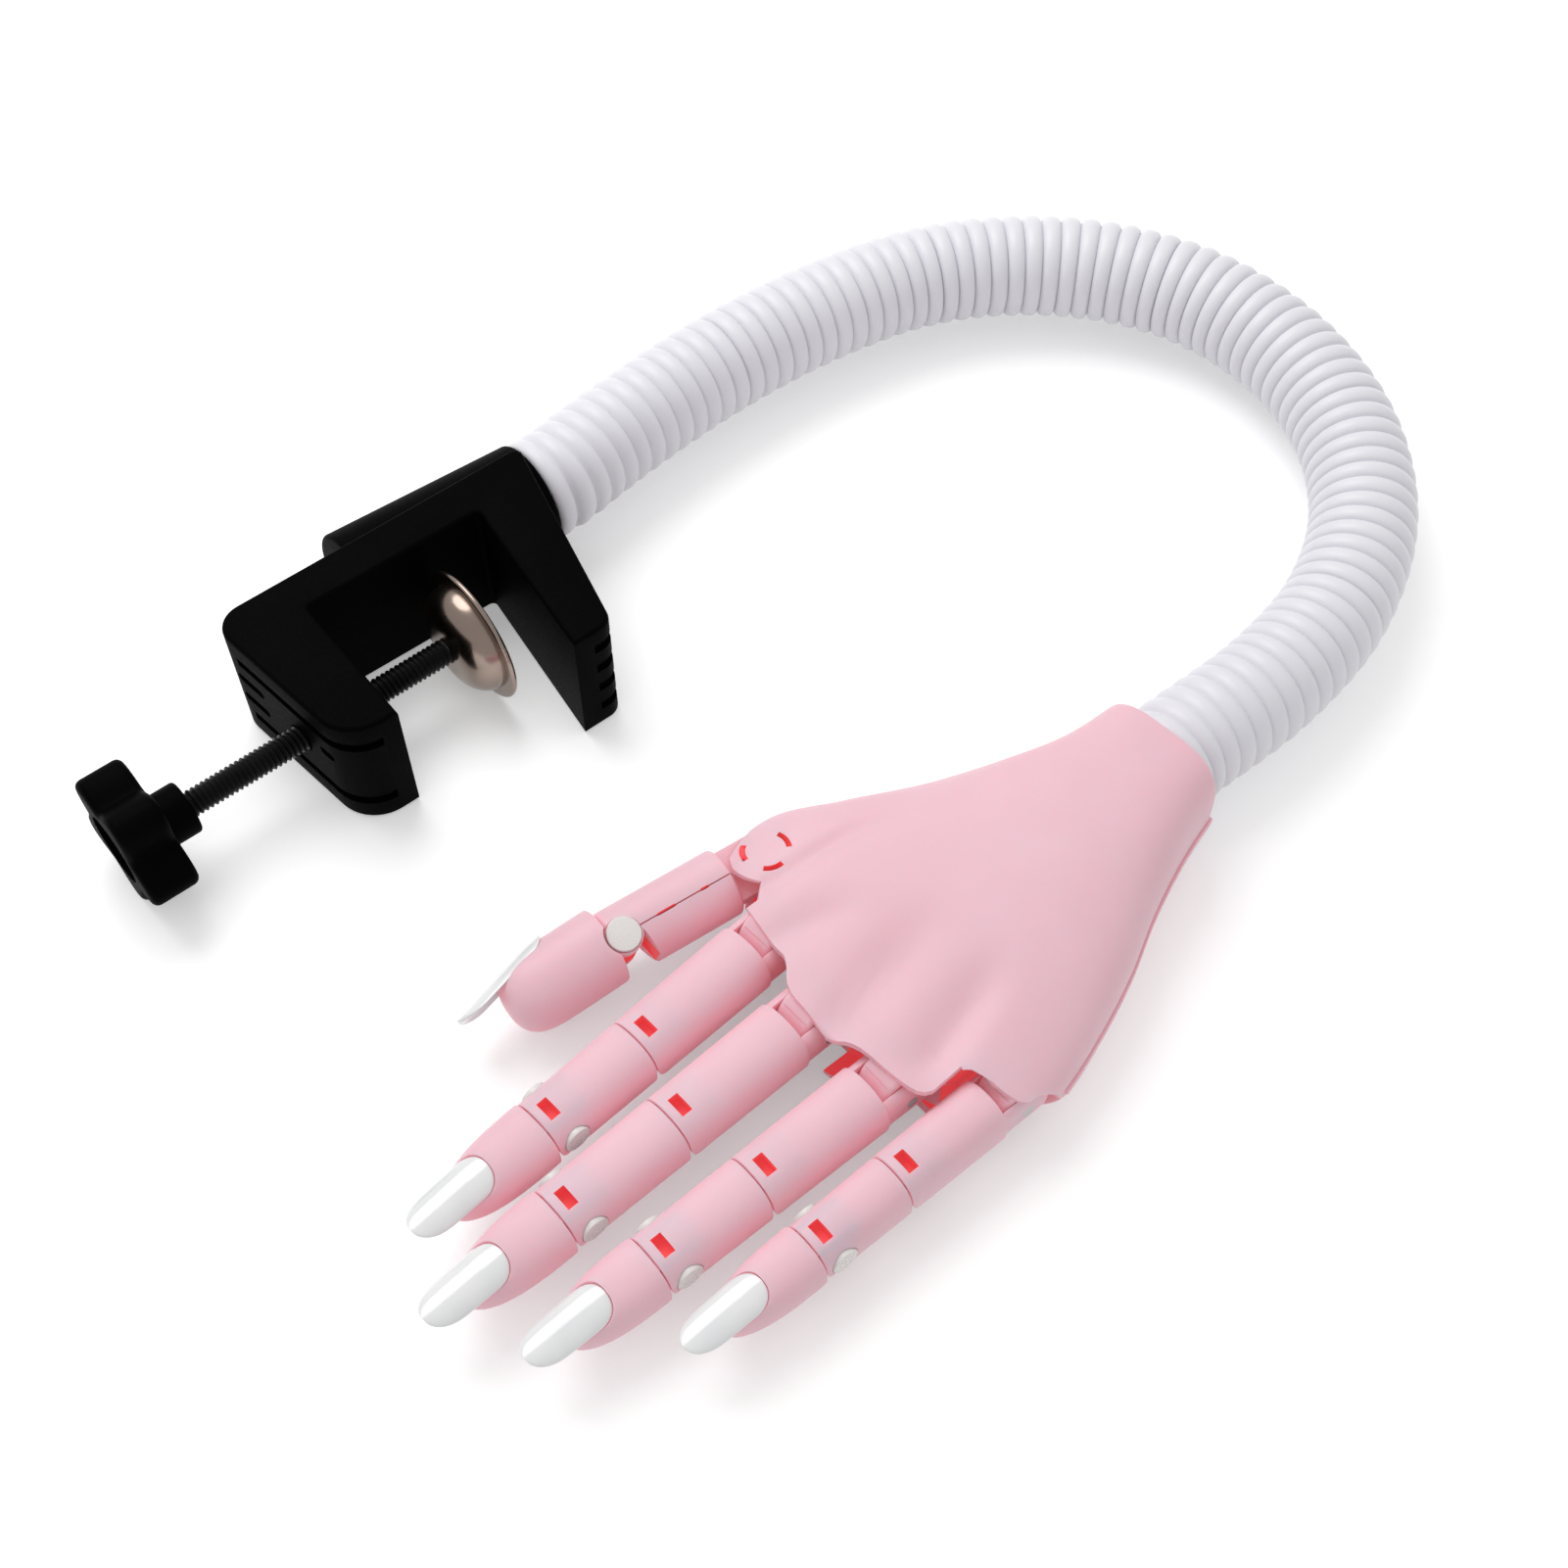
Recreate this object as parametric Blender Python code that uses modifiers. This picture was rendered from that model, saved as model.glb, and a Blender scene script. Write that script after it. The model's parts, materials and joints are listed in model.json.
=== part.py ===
"""Nail practice hand: a jointed left hand on a ribbed gooseneck with a table clamp.

The whole set lies on a table as it is stored, back of the hand up. Lengths are in metres,
+Z is up, the fingers point along -X, and the origin is on the table under the middle of the
part's box. The clamp is the fixed end. From it the neck runs in a U to the wrist.
"""
import math

import bmesh
import bpy
from mathutils import Matrix, Vector

# Clearances shared by all pieces
GAP = 0.0003
RUNNING_GAP = 0.00035
OVERRUN = 0.002
WELD = 0.000002
GUIDE_SIZE = 0.02
CORNER_STEPS = 4
SIDE_TURN = 0.5
SHADE_ANGLE = math.radians(35.0)
EDGE_ANGLE = math.radians(40.0)

# Clamp: local u runs along the screw towards the fixed jaw, w from the mouth to the spine
CLAMP_PLACE = (-0.0930, 0.0705)
CLAMP_YAW = math.radians(-6.0)
CLAMP_THICKNESS = 0.0330
CLAMP_EDGE_ROUND = 0.0010
SCREW_JAW_TIP_WIDTH = 0.0131
SCREW_JAW_ROOT_WIDTH = 0.0187
SCREW_JAW_REACH = 0.0188
FIXED_JAW_TIP_WIDTH = 0.0103
FIXED_JAW_ROOT_WIDTH = 0.0140
FIXED_JAW_REACH = 0.0276
FIXED_JAW_LEAN = 0.0056
MOUTH_WIDTH = 0.0446
SPINE_OUTER = 0.0272
SPINE_THICKNESS_SCREW_END = 0.0088
SPINE_THICKNESS_SOCKET_END = 0.0100
SCREW_JAW_CORNER = 0.0100
SPINE_CORNER = 0.0062
FIXED_JAW_CORNER = 0.0040
NOTCH_COUNT = 4
NOTCH_WIDTH = 0.0016
NOTCH_DEPTH = 0.0012
NOTCH_LENGTH = 0.0042
NOTCH_PITCH = 0.0058
GROOVE_WIDTH = 0.0016
GROOVE_DEPTH = 0.0014
GROOVE_RISE = 0.0098
GROOVE_LENGTH = 0.0270
SHORT_GROOVE_LENGTH = 0.0090
SHORT_GROOVE_RISE = 0.0035
SHORT_GROOVE_PLACE = 0.0118
NECK_SOCKET_START = 0.0315
NECK_SOCKET_END = 0.0800
NECK_SOCKET_OFFSET = 0.0264
NECK_SOCKET_RADIUS = 0.0149
NECK_SOCKET_MOUTH_RADIUS = 0.0127
NECK_SOCKET_DEPTH = 0.0320
NECK_STRAIGHT_END = 0.0060

# Clamp screw, nut, knob and pad, on the screw's axis
SCREW_RADIUS = 0.0031
SCREW_SIDES = 12
NUT_WIDTH = 0.0110
NUT_HEIGHT = 0.0052
NUT_SEAT = 0.0018
HUB_RADIUS = 0.0061
HUB_LENGTH = 0.0066
HUB_START = -0.0276
KNOB_RADIUS = 0.0162
KNOB_VALLEY_RADIUS = 0.0112
KNOB_THICKNESS = 0.0110
KNOB_LOBES = 5
KNOB_TURN = math.radians(25.5)
KNOB_STEPS = 6
KNOB_LOBE_POWER = 0.8
KNOB_RECESS_RADIUS = 0.0082
KNOB_RECESS_DEPTH = 0.0040
KNOB_EDGE_ROUND = 0.0012
PAD_RADIUS = 0.0162
PAD_FACE_PLACE = 0.0462
PAD_RIM_THICKNESS = 0.0014
PAD_DOME_RADIUS = 0.0132
PAD_DOME_HEIGHT = 0.0068
PAD_NECK_RADIUS = 0.0056
PAD_WALL = 0.0013
PAD_SIDES = 20
BALL_RADIUS = 0.0046
BALL_STEPS = 10

# Neck: a ribbed sleeve over a chain of ball-ended links
SLEEVE_RADIUS = 0.0125
SLEEVE_VALLEY_RADIUS = 0.0112
SLEEVE_BORE_RADIUS = 0.0086
SLEEVE_SECTION_GAP = 0.0006
RIBS_PER_LINK = 13
LINK_COUNT = 7
LINK_RADIUS = 0.0062
LINK_BALL_RADIUS = 0.0050
LINK_SOCKET_LIP = 0.0022
LINK_NECK_RADIUS = 0.0027
LINK_SHOULDER = 0.0082
LINK_SIDES = 8
ROOM_SIDES = 12
LINK_STEPS = 5
BORE_STEPS = 7
ROUTE_STEP = 0.0005
NECK_ROUTE = [
    (0.0172, 0.0886),
    (0.0490, 0.0876),
    (0.0805, 0.0827),
    (0.1074, 0.0737),
    (0.1279, 0.0593),
    (0.1431, 0.0406),
    (0.1520, 0.0178),
    (0.1517, -0.0084),
    (0.1415, -0.0341),
    (0.1221, -0.0543),
    (0.0959, -0.0661),
    (0.0678, -0.0688),
]

# Palm: stations run from the wrist to the knuckles
WRIST_PLACE = (0.0326, -0.0660)
WRIST_SOCKET_DEPTH = 0.0240
WRIST_SLEEVE_DEPTH = 0.0100
PALM_LENGTH = 0.0976
PALM_WIDTH = 0.0840
PALM_HEIGHT = 0.0322
PALM_FLOOR = 0.0005
PALM_WALL = 0.0026
PALM_SPLIT = 0.0140
PALM_SIDES = 18
PALM_EDGE_ROUND = 0.0012
PALM_CAVITY_START = 0.0270
PALM_CAVITY_END = 0.0690
PALM_CORNER_POWER = 2.5
# Shares of length, thumb side and little-finger side of the width, and of the height
PALM_STATION_SHARES = [
    (0.000, 0.179, -0.179, 0.016, 0.972),
    (0.130, 0.210, -0.210, 0.012, 0.960),
    (0.286, 0.296, -0.265, 0.000, 0.935),
    (0.430, 0.386, -0.331, 0.000, 0.915),
    (0.576, 0.504, -0.381, 0.000, 0.870),
    (0.700, 0.599, -0.413, 0.000, 0.810),
    (0.824, 0.593, -0.426, 0.010, 0.735),
    (0.917, 0.519, -0.406, 0.030, 0.680),
    (1.000, 0.410, -0.370, 0.060, 0.630),
]
SCREW_PLACE_SHARES = [(0.37, 0.06), (0.60, -0.21), (0.61, 0.27)]
PALM_SCREW_RADIUS = 0.0014
PALM_SCREW_HEAD_RADIUS = 0.0027
PALM_SCREW_HEAD_HEIGHT = 0.0018
PALM_SCREW_LENGTH = 0.0140
SCREW_HEAD_SINK = 0.0030
BOSS_RADIUS = 0.0046

# Fingers: a frame at each hinge, local +X towards the tip, local Y along the hinge pin
HINGE_HEIGHT = 0.0125
KNUCKLE_RADIUS = 0.0080
TONGUE_WIDTH = 0.0086
TONGUE_LENGTH = 0.0150
TONGUE_DROP = 0.0030
TONGUE_WRAP = math.radians(112.0)
LUG_RADIUS = 0.0062
LUG_START = 0.0046
LUG_REACH = 0.0030
LUG_CLEARANCE = 0.0004
ROOM_OUTER_REACH = 0.0060
LUG_INSET = 0.0006
PIN_RADIUS = 0.0015
PIN_SIDES = 8
BUTTON_RADIUS = 0.0027
BUTTON_PROUD = 0.0002
BUTTON_SINK = 0.0010
HINGE_EYE_RADIUS = 0.0042
HINGE_SEAM = 0.0043
HINGE_RISE = 0.0008
HINGE_TONGUE_WIDTH = 0.0062
HINGE_SLOT_DEPTH = 0.0052
WINDOW_WIDTH = 0.0046
WINDOW_LENGTH = 0.0024
WINDOW_BACK = 0.0031
REAR_RELIEF = math.radians(38.0)
FRONT_RELIEF = math.radians(45.0)
FINGER_SIDES = 12
FINGER_POWER = 2.5
# Each knuckle's way from the wrist, of the palm's length
KNUCKLE_PLACE_SHARES = {"index": 0.892, "middle": 0.964, "ring": 0.950, "little": 0.799}
# Name, knuckle's way across from the wrist, yaw, first seam, second seam, tip, base and tip width
FINGERS = [
    ("index", 0.0308, math.radians(-0.8), 0.0369, 0.0621, 0.0848, 0.0147, 0.0132),
    ("middle", 0.0125, math.radians(-2.9), 0.0368, 0.0649, 0.0872, 0.0149, 0.0134),
    ("ring", -0.0088, math.radians(-4.8), 0.0354, 0.0600, 0.0805, 0.0145, 0.0130),
    ("little", -0.0268, math.radians(-4.7), 0.0307, 0.0521, 0.0734, 0.0131, 0.0118),
]
FINGER_HEIGHT = 0.0146
FINGER_TIP_HEIGHT = 0.0126
TIP_STEPS = 5
TIP_POWER = 4.2
TIP_END_SHARE = 0.42
TIP_SWELL = 0.0004
TIP_DROP_SHARE = 0.35

# Nails, pushed into a slot in each fingertip
NAIL_LENGTH = 0.0223
NAIL_SHOWING = 0.0085
NAIL_SLOPE = math.radians(5.0)
THUMB_NAIL_SLOPE = math.radians(11.0)
NAIL_RADIUS = 0.0082
NAIL_THICKNESS = 0.0009
NAIL_SLOT_LENGTH = 0.0030
NAIL_WIDTH_SHARE = 0.78
NAIL_TOP_DROP = 0.0012
NAIL_STEPS = 5
NAIL_TIP_SHARE = 0.34
NAIL_STRAIGHT_SHARE = 0.60
NAIL_TAPER_POWER = 2.4
NAIL_BED_SHARE = 1.04

# Thumb: both hinges stand upright, and its nail faces away from the fingers
THUMB_PLACE_SHARE = 0.775
THUMB_ACROSS = 0.0462
THUMB_HEIGHT = 0.0112
THUMB_ROLL = math.radians(20.0)
THUMB_YAW = math.radians(-11.0)
THUMB_TIP_YAW = math.radians(-9.5)
THUMB_WIDTH = 0.0142
THUMB_DEPTH = 0.0152
THUMB_TIP_WIDTH = 0.0184
THUMB_EYE_RADIUS = 0.0058
THUMB_EYE_THICKNESS = 0.0082
THUMB_EYE_REACH = 0.0150
THUMB_BODY_START = 0.0125
THUMB_SEAM = 0.0381
THUMB_TIP = 0.0600
THUMB_PIN_RADIUS = 0.0020
THUMB_PIN_HALF = 0.0063
THUMB_BUTTON_RADIUS = 0.0036
THUMB_POCKET_SWING = math.radians(34.0)

# Colours, roughness and metallic value of each finish
FINISHES = {
    "pink_plastic": ((0.86, 0.62, 0.67), 0.42, 0.0),
    "black_plastic": ((0.012, 0.012, 0.014), 0.38, 0.0),
    "white_plastic": ((0.84, 0.83, 0.82), 0.35, 0.0),
    "nail_white": ((0.88, 0.87, 0.86), 0.12, 0.0),
    "pad_steel": ((0.62, 0.58, 0.56), 0.22, 1.0),
    "black_steel": ((0.020, 0.020, 0.022), 0.35, 0.9),
    "plain_steel": ((0.55, 0.55, 0.56), 0.32, 1.0),
}

AXIS_HEIGHT = CLAMP_THICKNESS / 2
MOUTH_START = SCREW_JAW_TIP_WIDTH + (SCREW_JAW_ROOT_WIDTH - SCREW_JAW_TIP_WIDTH) / 2
SOCKET_RADIUS = SLEEVE_RADIUS + GAP


def clear_scene():
    """Remove what the file holds, so that each run starts from nothing."""
    for item in list(bpy.data.objects):
        bpy.data.objects.remove(item, do_unlink=True)
    for group in list(bpy.data.collections):
        bpy.data.collections.remove(group)


def make_collection(name):
    group = bpy.data.collections.new(name)
    bpy.context.scene.collection.children.link(group)
    return group


def make_finish(name, colour, roughness, metallic):
    """One Principled material."""
    material = bpy.data.materials.new(name)
    material.use_nodes = True
    shader = material.node_tree.nodes["Principled BSDF"]
    shader.inputs["Base Color"].default_value = (*colour, 1.0)
    shader.inputs["Roughness"].default_value = roughness
    shader.inputs["Metallic"].default_value = metallic
    return material


def object_from_bmesh(name, bm):
    """Put a bmesh in an object of its own in the parts collection."""
    bmesh.ops.recalc_face_normals(bm, faces=bm.faces)
    if bm.calc_volume(signed=True) < 0:
        bmesh.ops.reverse_faces(bm, faces=bm.faces)
    mesh = bpy.data.meshes.new(name)
    bm.to_mesh(mesh)
    bm.free()
    item = bpy.data.objects.new(name, mesh)
    PARTS.objects.link(item)
    return item


def block(name, low, high):
    """A box between two corners."""
    bm = bmesh.new()
    bmesh.ops.create_cube(bm, size=1.0)
    low = Vector(low)
    high = Vector(high)
    size = high - low
    middle = (high + low) / 2
    for vert in bm.verts:
        vert.co = Vector(c * s for c, s in zip(vert.co, size)) + middle
    return object_from_bmesh(name, bm)


def rod(name, radius, start, end, sides, end_radius=None, turn=0.0):
    """A round bar or cone from one point to another."""
    start = Vector(start)
    end = Vector(end)
    axis = end - start
    bm = bmesh.new()
    bmesh.ops.create_cone(
        bm, cap_ends=True, segments=sides, radius1=radius,
        radius2=radius if end_radius is None else end_radius, depth=axis.length)
    bm.transform(Matrix.Rotation(turn, 4, "Z"))
    bm.transform(axis.to_track_quat("Z", "Y").to_matrix().to_4x4())
    bm.transform(Matrix.Translation((start + end) / 2))
    return object_from_bmesh(name, bm)


def ball(name, radius, centre, sides, rings):
    bm = bmesh.new()
    bmesh.ops.create_uvsphere(bm, u_segments=sides, v_segments=rings, radius=radius)
    bm.transform(Matrix.Translation(centre))
    return object_from_bmesh(name, bm)


def bake_mesh(item):
    """Replace an object's data with its evaluated mesh, caps welded."""
    bpy.context.view_layer.update()
    evaluated = item.evaluated_get(bpy.context.evaluated_depsgraph_get())
    mesh = bpy.data.meshes.new_from_object(evaluated)
    bm = bmesh.new()
    bm.from_mesh(mesh)
    bmesh.ops.remove_doubles(bm, verts=bm.verts, dist=WELD)
    bm.to_mesh(mesh)
    bm.free()
    name = item.name
    baked = bpy.data.objects.new(name, mesh)
    baked.matrix_world = item.matrix_world.copy()
    PARTS.objects.link(baked)
    bpy.data.objects.remove(item, do_unlink=True)
    baked.name = name
    return baked


def combine(item, others, operation):
    """Cut, join or intersect an object with others, and drop them."""
    for other in others:
        other.hide_render = True
        other.display_type = "WIRE"
        step = item.modifiers.new("shape", "BOOLEAN")
        step.operation = operation
        step.solver = "EXACT"
        step.object = other
        item = bake_mesh(item)
        bpy.data.objects.remove(other, do_unlink=True)
    return item


def cut(item, *others):
    return combine(item, others, "DIFFERENCE")


def join(item, *others):
    return combine(item, others, "UNION")


def keep_inside(item, other):
    return combine(item, [other], "INTERSECT")


def copy_of(item, name):
    twin = item.copy()
    twin.data = item.data.copy()
    twin.name = name
    PARTS.objects.link(twin)
    return twin


def soften(item, width, segments=1):
    """Round the sharp edges of an object."""
    step = item.modifiers.new("edges", "BEVEL")
    step.width = width
    step.segments = segments
    step.limit_method = "ANGLE"
    step.angle_limit = EDGE_ANGLE
    return bake_mesh(item)


def flat_solid(name, outline, low, high, plane="XY"):
    """A closed outline given a thickness, as a filled 2D curve.

    In plane XZ the outline's second value is height and the thickness runs along Y.
    """
    curve = bpy.data.curves.new(name, "CURVE")
    curve.dimensions = "2D"
    curve.fill_mode = "BOTH"
    curve.extrude = abs(high - low) / 2
    spline = curve.splines.new("POLY")
    spline.points.add(len(outline) - 1)
    for point, (a, b) in zip(spline.points, outline):
        point.co = (a, b, 0.0, 1.0)
    spline.use_cyclic_u = True
    item = bpy.data.objects.new(name, curve)
    PARTS.objects.link(item)
    middle = (low + high) / 2
    if plane == "XZ":
        item.matrix_world = Matrix.Translation((0, middle, 0)) @ Matrix.Rotation(math.pi / 2, 4, "X")
    else:
        item.matrix_world = Matrix.Translation((0, 0, middle))
    item = bake_mesh(item)
    item.data.transform(item.matrix_world)
    item.matrix_world = Matrix.Identity(4)
    return item


def arc(centre, radius, start, end, steps):
    """Points of an arc, angles in radians."""
    return [
        (centre[0] + radius * math.cos(start + (end - start) * i / steps),
         centre[1] + radius * math.sin(start + (end - start) * i / steps))
        for i in range(steps + 1)
    ]


def rounded_outline(corners):
    """An outline whose corners, given as (point, radius), are turned into arcs."""
    points = []
    count = len(corners)
    for i, (corner, radius) in enumerate(corners):
        here = Vector(corner)
        before = (Vector(corners[i - 1][0]) - here).normalized()
        after = (Vector(corners[(i + 1) % count][0]) - here).normalized()
        if radius <= 0:
            points.append(tuple(here))
            continue
        half = before.angle(after) / 2
        reach = radius / math.tan(half)
        centre = here + (before + after).normalized() * (radius / math.sin(half))
        first = here + before * reach - centre
        last = here + after * reach - centre
        turn = first.angle_signed(last)
        for k in range(CORNER_STEPS + 1):
            angle = math.atan2(first.y, first.x) - turn * k / CORNER_STEPS
            points.append((centre.x + radius * math.cos(angle), centre.y + radius * math.sin(angle)))
    return points


def loft(name, rings):
    """A closed solid through rings of points, each ring with the same count."""
    bm = bmesh.new()
    rows = [[bm.verts.new(point) for point in ring] for ring in rings]
    count = len(rows[0])
    for near, far in zip(rows, rows[1:]):
        for i in range(count):
            bm.faces.new((near[i], near[(i + 1) % count], far[(i + 1) % count], far[i]))
    bm.faces.new(rows[0])
    bm.faces.new(rows[-1])
    return object_from_bmesh(name, bm)


def oval_ring(x, half_width, half_height, power, sides, rise=0.0, side=0.0):
    """A superellipse across X: flatter than an ellipse where power is over 2."""
    ring = []
    for i in range(sides):
        angle = 2 * math.pi * (i + SIDE_TURN) / sides
        c = math.cos(angle)
        s = math.sin(angle)
        y = math.copysign(abs(c) ** (2 / power), c) * half_width
        z = math.copysign(abs(s) ** (2 / power), s) * half_height
        ring.append((x, side + y, rise + z))
    return ring


def frame(name, matrix, parent=None):
    """An empty that carries the pieces of one body, placed on its joint."""
    empty = bpy.data.objects.new(name, None)
    empty.empty_display_size = GUIDE_SIZE
    GUIDES.objects.link(empty)
    if parent is not None:
        empty.parent = parent
        bpy.context.view_layer.update()
        empty.matrix_parent_inverse = parent.matrix_world.inverted()
    empty.matrix_basis = matrix
    bpy.context.view_layer.update()
    return empty


def drop_crumbs(item):
    """Keep the largest body of a mesh where neighbouring cuts leave a crumb."""
    bm = bmesh.new()
    bm.from_mesh(item.data)
    left = set(bm.verts)
    bodies = []
    while left:
        stack = [left.pop()]
        body = list(stack)
        while stack:
            for edge in stack.pop().link_edges:
                for vert in edge.verts:
                    if vert in left:
                        left.remove(vert)
                        stack.append(vert)
                        body.append(vert)
        bodies.append(body)
    bodies.sort(key=len)
    for body in bodies[:-1]:
        bmesh.ops.delete(bm, geom=body, context="VERTS")
    bm.to_mesh(item.data)
    bm.free()
    return item


def tidy_mesh(item):
    """Triangles throughout, with the ones of no area that cuts leave taken out."""
    bm = bmesh.new()
    bm.from_mesh(item.data)
    bmesh.ops.triangulate(bm, faces=bm.faces)
    bmesh.ops.dissolve_degenerate(bm, dist=WELD, edges=bm.edges)
    bmesh.ops.triangulate(bm, faces=bm.faces)
    bm.to_mesh(item.data)
    bm.free()


def place(item, name, parent, finish):
    """Name a piece, hang it on its body's frame and give it its finish and shading."""
    tidy_mesh(item)
    item.name = name
    item.data.name = name
    item.data.materials.clear()
    item.data.materials.append(FINISH[finish])
    item.parent = parent
    item.data.shade_smooth()
    item.data.set_sharp_from_angle(angle=SHADE_ANGLE)
    return item


def pin_hole(radius, half_length):
    """A cutter along local Y whose flats clear a pin of the given radius."""
    wide = (radius + RUNNING_GAP) / math.cos(math.pi / PIN_SIDES)
    return rod("hole", wide, (0, -half_length, 0), (0, half_length, 0), PIN_SIDES)


def shifted(item, x, z=0.0):
    item.data.transform(Matrix.Translation((x, 0, z)))
    return item


# The clamp

def clamp_outline():
    """The C of the clamp in the screw's plane, both jaws tapering to their tips."""
    jaw_end = -SCREW_JAW_REACH
    spine_inner_screw = SPINE_OUTER - SPINE_THICKNESS_SCREW_END
    spine_inner_socket = SPINE_OUTER - SPINE_THICKNESS_SOCKET_END
    fixed_inner_root = MOUTH_START + MOUTH_WIDTH
    fixed_inner_tip = fixed_inner_root - FIXED_JAW_LEAN
    return rounded_outline([
        ((MOUTH_START - SCREW_JAW_ROOT_WIDTH, SPINE_OUTER), SPINE_CORNER),
        ((MOUTH_START - SCREW_JAW_TIP_WIDTH, jaw_end), SCREW_JAW_CORNER),
        ((MOUTH_START, jaw_end), 0.0),
        ((MOUTH_START, spine_inner_screw), FIXED_JAW_CORNER),
        ((fixed_inner_root, spine_inner_socket), FIXED_JAW_CORNER),
        ((fixed_inner_tip, -FIXED_JAW_REACH), 0.0),
        ((fixed_inner_tip + FIXED_JAW_TIP_WIDTH, -FIXED_JAW_REACH), FIXED_JAW_CORNER),
        ((fixed_inner_root + FIXED_JAW_ROOT_WIDTH, SPINE_OUTER), SPINE_CORNER),
    ])


def mouth_outline():
    """The mouth between the jaws, a little deeper than the spine's own face."""
    far = 2 * FIXED_JAW_REACH
    end = MOUTH_START + MOUTH_WIDTH
    return [
        (MOUTH_START, -far),
        (end, -far),
        (end, SPINE_OUTER - SPINE_THICKNESS_SOCKET_END + GAP),
        (MOUTH_START, SPINE_OUTER - SPINE_THICKNESS_SCREW_END + GAP),
    ]


def make_clamp_body(parent):
    half = CLAMP_THICKNESS / 2
    body = flat_solid("clamp_body", clamp_outline(), -half, half)
    body = soften(body, CLAMP_EDGE_ROUND)
    tube = rod(
        "tube", NECK_SOCKET_RADIUS, (NECK_SOCKET_START, NECK_SOCKET_OFFSET, 0),
        (NECK_SOCKET_END, NECK_SOCKET_OFFSET, 0), PAD_SIDES, end_radius=NECK_SOCKET_MOUTH_RADIUS)
    tube = soften(tube, CLAMP_EDGE_ROUND)
    tube = cut(tube, flat_solid("mouth", mouth_outline(), -CLAMP_THICKNESS, CLAMP_THICKNESS))
    body = join(body, tube)
    bore = rod(
        "bore", (LINK_RADIUS + GAP) / math.cos(math.pi / SCREW_SIDES),
        (NECK_SOCKET_END - NECK_SOCKET_DEPTH, NECK_SOCKET_OFFSET, 0),
        (NECK_SOCKET_END + OVERRUN, NECK_SOCKET_OFFSET, 0), SCREW_SIDES)
    screw_way = rod(
        "way", (SCREW_RADIUS + RUNNING_GAP) / math.cos(math.pi / SCREW_SIDES),
        (-SCREW_JAW_ROOT_WIDTH, 0, 0), (MOUTH_START + OVERRUN, 0, 0), SCREW_SIDES)
    nut_room = rod(
        "room", (NUT_WIDTH / 2 + GAP) / math.cos(math.pi / 6), (-SCREW_JAW_ROOT_WIDTH, 0, 0),
        (NUT_SEAT + NUT_HEIGHT + GAP, 0, 0), 6, turn=math.pi / 6)
    body = cut(body, bore, screw_way, nut_room)
    body = cut(body, *jaw_grooves(), *jaw_notches())
    return place(body, "clamp_body", parent, "black_plastic")


def outer_face_place(w):
    """How far along the screw the screw jaw's outer face stands at a height w."""
    root = MOUTH_START - SCREW_JAW_ROOT_WIDTH
    tip = MOUTH_START - SCREW_JAW_TIP_WIDTH
    share = (w + SCREW_JAW_REACH) / (SPINE_OUTER + SCREW_JAW_REACH)
    return tip + (root - tip) * share


def jaw_grooves():
    """Long and short grooves pressed into the screw jaw's outer face."""
    grooves = []
    runs = [
        (GROOVE_RISE, -GROOVE_LENGTH / 3, GROOVE_LENGTH),
        (-GROOVE_RISE, -GROOVE_LENGTH / 3, GROOVE_LENGTH),
        (SHORT_GROOVE_RISE, SHORT_GROOVE_PLACE, SHORT_GROOVE_LENGTH),
        (-SHORT_GROOVE_RISE, SHORT_GROOVE_PLACE, SHORT_GROOVE_LENGTH),
        (SHORT_GROOVE_RISE, -SHORT_GROOVE_PLACE, SHORT_GROOVE_LENGTH / 2),
    ]
    for rise, place_w, length in runs:
        low = place_w if length < GROOVE_LENGTH else -GROOVE_LENGTH / 3
        face = outer_face_place(low + length / 2)
        grooves.append(block(
            "groove", (face - SCREW_JAW_TIP_WIDTH, low, rise - GROOVE_WIDTH / 2),
            (face + GROOVE_DEPTH, low + length, rise + GROOVE_WIDTH / 2)))
    return grooves


def jaw_notches():
    """Notches across the outer edge of the fixed jaw's end."""
    notches = []
    outer = MOUTH_START + MOUTH_WIDTH - FIXED_JAW_LEAN + FIXED_JAW_TIP_WIDTH
    for i in range(NOTCH_COUNT):
        level = (i - (NOTCH_COUNT - 1) / 2) * NOTCH_PITCH
        notches.append(block(
            "notch", (outer - NOTCH_LENGTH, -FIXED_JAW_REACH - OVERRUN, level - NOTCH_WIDTH / 2),
            (outer + OVERRUN, -FIXED_JAW_REACH + NOTCH_DEPTH, level + NOTCH_WIDTH / 2)))
    return notches


def make_clamp_nut(parent):
    corner = NUT_WIDTH / 2 / math.cos(math.pi / 6)
    nut = rod("clamp_nut", corner, (NUT_SEAT, 0, 0), (NUT_SEAT + NUT_HEIGHT, 0, 0), 6, turn=math.pi / 6)
    way = rod(
        "way", (SCREW_RADIUS + RUNNING_GAP) / math.cos(math.pi / SCREW_SIDES),
        (NUT_SEAT - OVERRUN, 0, 0), (NUT_SEAT + NUT_HEIGHT + OVERRUN, 0, 0), SCREW_SIDES)
    return place(cut(nut, way), "clamp_nut", parent, "plain_steel")


def pad_back():
    """Where the pad's neck begins, along the screw."""
    return PAD_FACE_PLACE - PAD_RIM_THICKNESS - PAD_DOME_HEIGHT


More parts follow.
